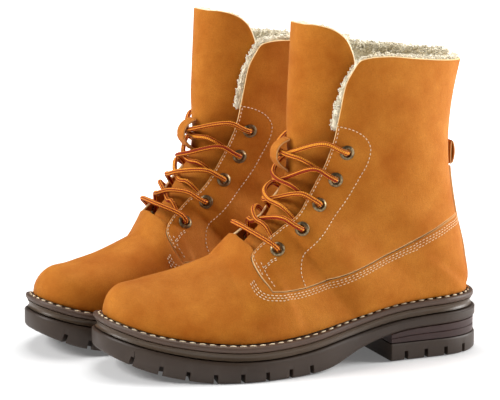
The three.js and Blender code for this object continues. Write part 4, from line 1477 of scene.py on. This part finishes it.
def build_laces(sizes):
    done = finishes()
    bar = [front_point(BAR_T, -LACE_HALF - 1, x) for x in (BAR_X, -BAR_X)]
    route = lace_half(1)[::-1] + bar + lace_half(-1)
    path = spaced(spline(route, 10), LACE_STEP)
    way = np.gradient(path, axis=0)
    way /= np.linalg.norm(way, axis=1, keepdims=True)
    up = np.cross(way[0], (0.3, 0.9, 0.2))
    angles = np.linspace(0, 2 * np.pi, LACE_SIDES, endpoint=False)
    turns = angles / (2 * np.pi)
    length = np.arange(len(path)) * LACE_STEP
    points, uv = [], []
    for k, (p, d) in enumerate(zip(path, way)):
        up = up - d * float(up @ d)
        up = up / np.linalg.norm(up)
        beyond = np.cross(d, up)
        relief = sum(np.sin(2 * np.pi * (length[k] * 0.5 + strands * turns)) for strands in (3, -3))
        reach = LACE_HALF * (1 + sizes.relief * relief)
        points.append(p + reach[:, None] * (np.cos(angles)[:, None] * up + np.sin(angles)[:, None] * beyond))
        uv.append(np.column_stack((np.full(LACE_SIDES, length[k]), np.abs(turns * 2 - 1))))
    faces = tube_faces(len(path), LACE_SIDES)
    for boot in BOOTS:
        piece = built(boot, "lace", np.concatenate(points), faces, done["braid"], math.radians(180), None,
                      np.concatenate(uv))
        settled(piece, boot.body(), "lace_braid", boot.body("lace"))


def build_pull_tabs(sizes):
    done = finishes()
    y = float(stations(8.0, 0)[2]) + TAB_OUT
    line = [(y - 0.2, -1), (y - 0.4, 4), (y - 0.3, 10), (y, 14.4), (y + 0.7, 15.6), (y + 1.6, 14.2),
            (y + 2.6, 9.5), (y + 2.3, 4), (y + 0.9, -0.6)]
    path = spaced(spline([(0, a, TAB_Z + b) for a, b in line], 6), 0.8)
    wide, thick, corner = sizes.tab_width / MM, 1.3, 0.6
    points, faces = swept(path, np.array((1.0, 0, 0)), strap_outline(wide / 2, thick, corner))
    gaps = strap_gaps(points, wide)
    for boot in BOOTS:
        piece = built(boot, "pull_tab", points, faces, done["nubuck"], attributes=gaps)
        settled(piece, boot.body("tab"), "nubuck", boot.body("pull_tab"))


def finish_hidden_layers():
    """Finishes of the layers that stay as the CAD has them."""
    done = finishes()
    for boot in BOOTS:
        for name, finish in (("shank", "steel"), ("insole_board", "board"), ("heel_counter", "board"),
                             ("toe_puff", "board")):
            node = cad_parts[boot.body(name)]
            node.data.materials.clear()
            node.data.materials.append(done[finish])


def build_stage(sizes):
    """Floor, lights and camera."""
    scene = bpy.context.scene
    mesh = bpy.data.meshes.new("floor")
    r = 6.0
    mesh.from_pydata([(-r, -r, 0), (r, -r, 0), (r, r, 0), (-r, r, 0)], [], [(0, 1, 2, 3)])
    just_below = -0.0004
    made, tree, shader = material("pale_floor", 0.7)
    noise = add(tree, "ShaderNodeTexNoise", {"Scale": 3.0})
    coloured(tree, shader, noise.outputs[0], (0.8, 0.8, 0.8), (0.83, 0.83, 0.83))
    place = add(tree, "ShaderNodeTexCoord")
    reach = add(tree, "ShaderNodeVectorMath", {0: place.outputs["Object"]}, operation="LENGTH")
    far_glow = ranged(tree, reach.outputs["Value"], 0.25, 0.9, sizes.glow, 1.0)
    shader.inputs["Emission Color"].default_value = (1, 1, 1, 1)
    tree.links.new(far_glow, shader.inputs["Emission Strength"])
    floor = new_piece("floor", mesh, made)
    floor.location.z = just_below

    world = bpy.data.worlds.new("studio")
    world.use_nodes = True
    world.node_tree.nodes["Background"].inputs[0].default_value = (1, 1, 1, 1)
    world.node_tree.nodes["Background"].inputs[1].default_value = sizes.surround
    scene.world = world
    turn = math.radians(sizes.azimuth)
    back = Vector((math.sin(turn), -math.cos(turn), 0))
    side = Vector((math.cos(turn), math.sin(turn), 0))
    middle = Vector((0, 0, 0.1))
    lamps = (
        ("key", middle + back * 0.5 - side * 1.9 + Vector((0, 0, 1.4)), 1.0, sizes.key),
        ("fill", middle - back * 0.3 + side * 1.9 + Vector((0, 0, 0.8)), 1.2, sizes.fill),
        ("top", middle - back * 0.7 + Vector((0, 0, 2.0)), 1.6, sizes.top),
    )
    for name, at, size, power in lamps:
        lamp = bpy.data.lights.new(name, "AREA")
        lamp.shape = "DISK"
        lamp.size = size
        lamp.energy = power
        item = bpy.data.objects.new(name, lamp)
        item.location = at
        item.rotation_euler = (middle - at).to_track_quat("-Z", "Y").to_euler()
        scene.collection.objects.link(item)
    camera = bpy.data.cameras.new("camera")
    camera.lens = sizes.lens
    camera.shift_x = -0.035
    camera.shift_y = -0.0186
    item = bpy.data.objects.new("camera", camera)
    tilt = math.radians(sizes.elevation)
    target = Vector((-0.010, 0.0219, 0.110))
    way = Vector((math.sin(turn) * math.cos(tilt), -math.cos(turn) * math.cos(tilt), math.sin(tilt)))
    item.location = target + way * sizes.distance
    item.rotation_euler = (-way).to_track_quat("-Z", "Y").to_euler()
    scene.collection.objects.link(item)
    scene.camera = item
    scene.view_settings.view_transform = "Standard"


# Settings, operators and panel
def length(name, description, default):
    given = {"name": name, "description": description, "default": default}
    return bpy.props.FloatProperty(unit="LENGTH", precision=4, **given)


def colour(name, description, default):
    given = {"name": name, "description": description, "default": default}
    return bpy.props.FloatVectorProperty(subtype="COLOR", size=3, **given)


def number(name, description, default):
    return bpy.props.FloatProperty(name=name, description=description, default=default)


class BootsLeather(bpy.types.PropertyGroup):
    """Leather of the upper."""

    mesh_step: length("Mesh step", "Distance between points of a panel", 0.003)
    seam_step: length("Seam step", "How far the foxing stands proud of the quarters", 0.0007)
    nubuck_colour: colour("Nubuck", "Lighter colour of the leather", (0.56, 0.195, 0.016))
    shade_colour: colour("Nubuck shade", "Darker colour of the leather's patches", (0.38, 0.095, 0.004))
    edge_colour: colour("Cut edge", "Colour of a cut edge", (0.86, 0.6, 0.3))


class BootsSole(bpy.types.PropertyGroup):
    """Soles, heels and welts."""

    edge_radius: length("Edge radius", "Rounding of the outsole's lower edge", 0.001)
    rubber_colour: colour("Outsole", "Colour of the lugged rubber", (0.046, 0.028, 0.018))
    midsole_colour: colour("Midsole", "Colour of the grooved layer", (0.09, 0.06, 0.038))
    welt_colour: colour("Welt", "Colour of the stitched strip", (0.09, 0.052, 0.034))
    stack_colour: colour("Heel stack", "Colour of the heel's layers", (0.042, 0.017, 0.014))


class BootsTrim(bpy.types.PropertyGroup):
    """Thread, laces, eyelets, wool and loops."""

    tongue_step: length("Tongue mesh step", "Distance between points of the tongue", 0.003)
    pitch: length("Stitch pitch", "Distance from stitch to stitch", 0.0029)
    stitch: length("Stitch length", "Length of a stitch", 0.0019)
    thread: length("Thread", "Thickness of the thread", 0.00065)
    welt_pitch: length("Welt pitch", "Distance from stitch to stitch on the welt", 0.007)
    welt_stitch: length("Welt stitch", "Length of a stitch on the welt", 0.0047)
    welt_thread: length("Welt thread", "Thickness of the thread on the welt", 0.0013)
    flange: length("Eyelet flange", "Outer width of an eyelet", 2 * EYELET_R * MM)
    tab_width: length("Pull tab width", "Width of the loop at the heel", 0.018)
    curls: number("Curls", "Curls of wool in a square metre", 230000.0)
    curl_radius: length("Curl radius", "Radius of a curl of wool", 0.0009)
    strand: length("Strand", "Thickness of a strand of wool", 0.00032)
    relief: number("Braid relief", "Height of the braid's strands, as a share of its radius", 0.035)
    thread_colour: colour("Thread", "Colour of the thread", (0.82, 0.68, 0.46))
    wool_colour: colour("Wool", "Colour of the fleece", (0.93, 0.86, 0.68))
    lace_colour: colour("Lace", "Lighter colour of the lace", (0.86, 0.33, 0.03))
    lace_stripe: colour("Lace stripe", "Darker colour of the lace", (0.2, 0.012, 0.004))
    brass_colour: colour("Eyelets", "Colour of the eyelets", (0.3, 0.22, 0.12))


class BootsStage(bpy.types.PropertyGroup):
    """Camera and lights."""

    azimuth: number("Azimuth", "Degrees that the camera stands round from the toes", 68.47)
    elevation: number("Elevation", "Degrees that the camera stands above the boots", 10.19)
    distance: length("Distance", "From the camera to the boots", 1.646)
    lens: number("Lens", "Focal length in millimetres", 160.3)
    surround: number("Surround", "Brightness of the white surround", 0.13)
    glow: number("Floor glow", "Light given off by the floor near the boots", 0.12)
    key: number("Key", "Power of the light on the toes in watts", 50.0)
    fill: number("Fill", "Power of the light on the heels in watts", 56.0)
    top: number("Top", "Power of the light above in watts", 34.0)


class BOOTS_OT_uppers(bpy.types.Operator):
    """Make the vamps, quarters and heel strips."""

    bl_idname = "boots.uppers"
    bl_label = "Uppers"

    def execute(self, context):
        build_uppers(context.scene.boots_leather)
        return {"FINISHED"}


class BOOTS_OT_tongues(bpy.types.Operator):
    """Make the tongues, their fleece and the lace keepers."""

    bl_idname = "boots.tongues"
    bl_label = "Tongues"

    def execute(self, context):
        build_tongues(context.scene.boots_trim)
        return {"FINISHED"}


class BOOTS_OT_linings(bpy.types.Operator):
    """Make the fleece linings, collar pile and footbeds."""

    bl_idname = "boots.linings"
    bl_label = "Linings"

    def execute(self, context):
        build_linings(context.scene.boots_trim)
        return {"FINISHED"}


class BOOTS_OT_soles(bpy.types.Operator):
    """Make the outsoles, midsoles, welts, heel stacks and lifts."""

    bl_idname = "boots.soles"
    bl_label = "Soles"

    def execute(self, context):
        build_soles(context.scene.boots_sole)
        return {"FINISHED"}


class BOOTS_OT_stitching(bpy.types.Operator):
    """Sew every row of thread on the uppers and welts."""

    bl_idname = "boots.stitching"
    bl_label = "Stitching"

    def execute(self, context):
        build_stitching(context.scene.boots_trim)
        return {"FINISHED"}


class BOOTS_OT_eyelets(bpy.types.Operator):
    """Set the ten eyelets of each boot."""

    bl_idname = "boots.eyelets"
    bl_label = "Eyelets"

    def execute(self, context):
        build_eyelets(context.scene.boots_trim)
        return {"FINISHED"}


class BOOTS_OT_laces(bpy.types.Operator):
    """Thread the braided laces."""

    bl_idname = "boots.laces"
    bl_label = "Laces"

    def execute(self, context):
        build_laces(context.scene.boots_trim)
        return {"FINISHED"}


class BOOTS_OT_pull_tabs(bpy.types.Operator):
    """Make the loops at the heels."""

    bl_idname = "boots.pull_tabs"
    bl_label = "Pull Tabs"

    def execute(self, context):
        build_pull_tabs(context.scene.boots_trim)
        return {"FINISHED"}


class BOOTS_OT_hidden_layers(bpy.types.Operator):
    """Give the shanks, boards and stiffeners their finishes."""

    bl_idname = "boots.hidden_layers"
    bl_label = "Hidden Layers"

    def execute(self, context):
        finish_hidden_layers()
        return {"FINISHED"}


class BOOTS_OT_stage(bpy.types.Operator):
    """Set up the floor, lights and camera."""

    bl_idname = "boots.stage"
    bl_label = "Stage"

    def execute(self, context):
        build_stage(context.scene.boots_stage)
        return {"FINISHED"}


SETTINGS = {
    "boots_leather": BootsLeather,
    "boots_sole": BootsSole,
    "boots_trim": BootsTrim,
    "boots_stage": BootsStage,
}
OPERATORS = (
    BOOTS_OT_uppers,
    BOOTS_OT_tongues,
    BOOTS_OT_linings,
    BOOTS_OT_soles,
    BOOTS_OT_stitching,
    BOOTS_OT_eyelets,
    BOOTS_OT_laces,
    BOOTS_OT_pull_tabs,
    BOOTS_OT_hidden_layers,
    BOOTS_OT_stage,
)


class BOOTS_PT_panel(bpy.types.Panel):
    """Lists the settings and the pieces."""

    bl_label = "Boots"
    bl_idname = "BOOTS_PT_panel"
    bl_space_type = "VIEW_3D"
    bl_region_type = "UI"
    bl_category = "Boots"

    def draw(self, context):
        for name, group in SETTINGS.items():
            box = self.layout.box()
            box.label(text=group.__doc__)
            for field in group.__annotations__:
                box.prop(getattr(context.scene, name), field)
        for made in OPERATORS:
            self.layout.operator(made.bl_idname)


def register():
    for group in (*SETTINGS.values(), *OPERATORS, BOOTS_PT_panel):
        bpy.utils.register_class(group)
    for name, group in SETTINGS.items():
        setattr(bpy.types.Scene, name, bpy.props.PointerProperty(type=group))


def unregister():
    for name in SETTINGS:
        delattr(bpy.types.Scene, name)
    for group in (*SETTINGS.values(), *OPERATORS, BOOTS_PT_panel):
        bpy.utils.unregister_class(group)


def main():
    register()
    for made in OPERATORS:
        family, _, action = made.bl_idname.partition(".")
        getattr(getattr(bpy.ops, family), action)()


if __name__ == "__main__":
    main()
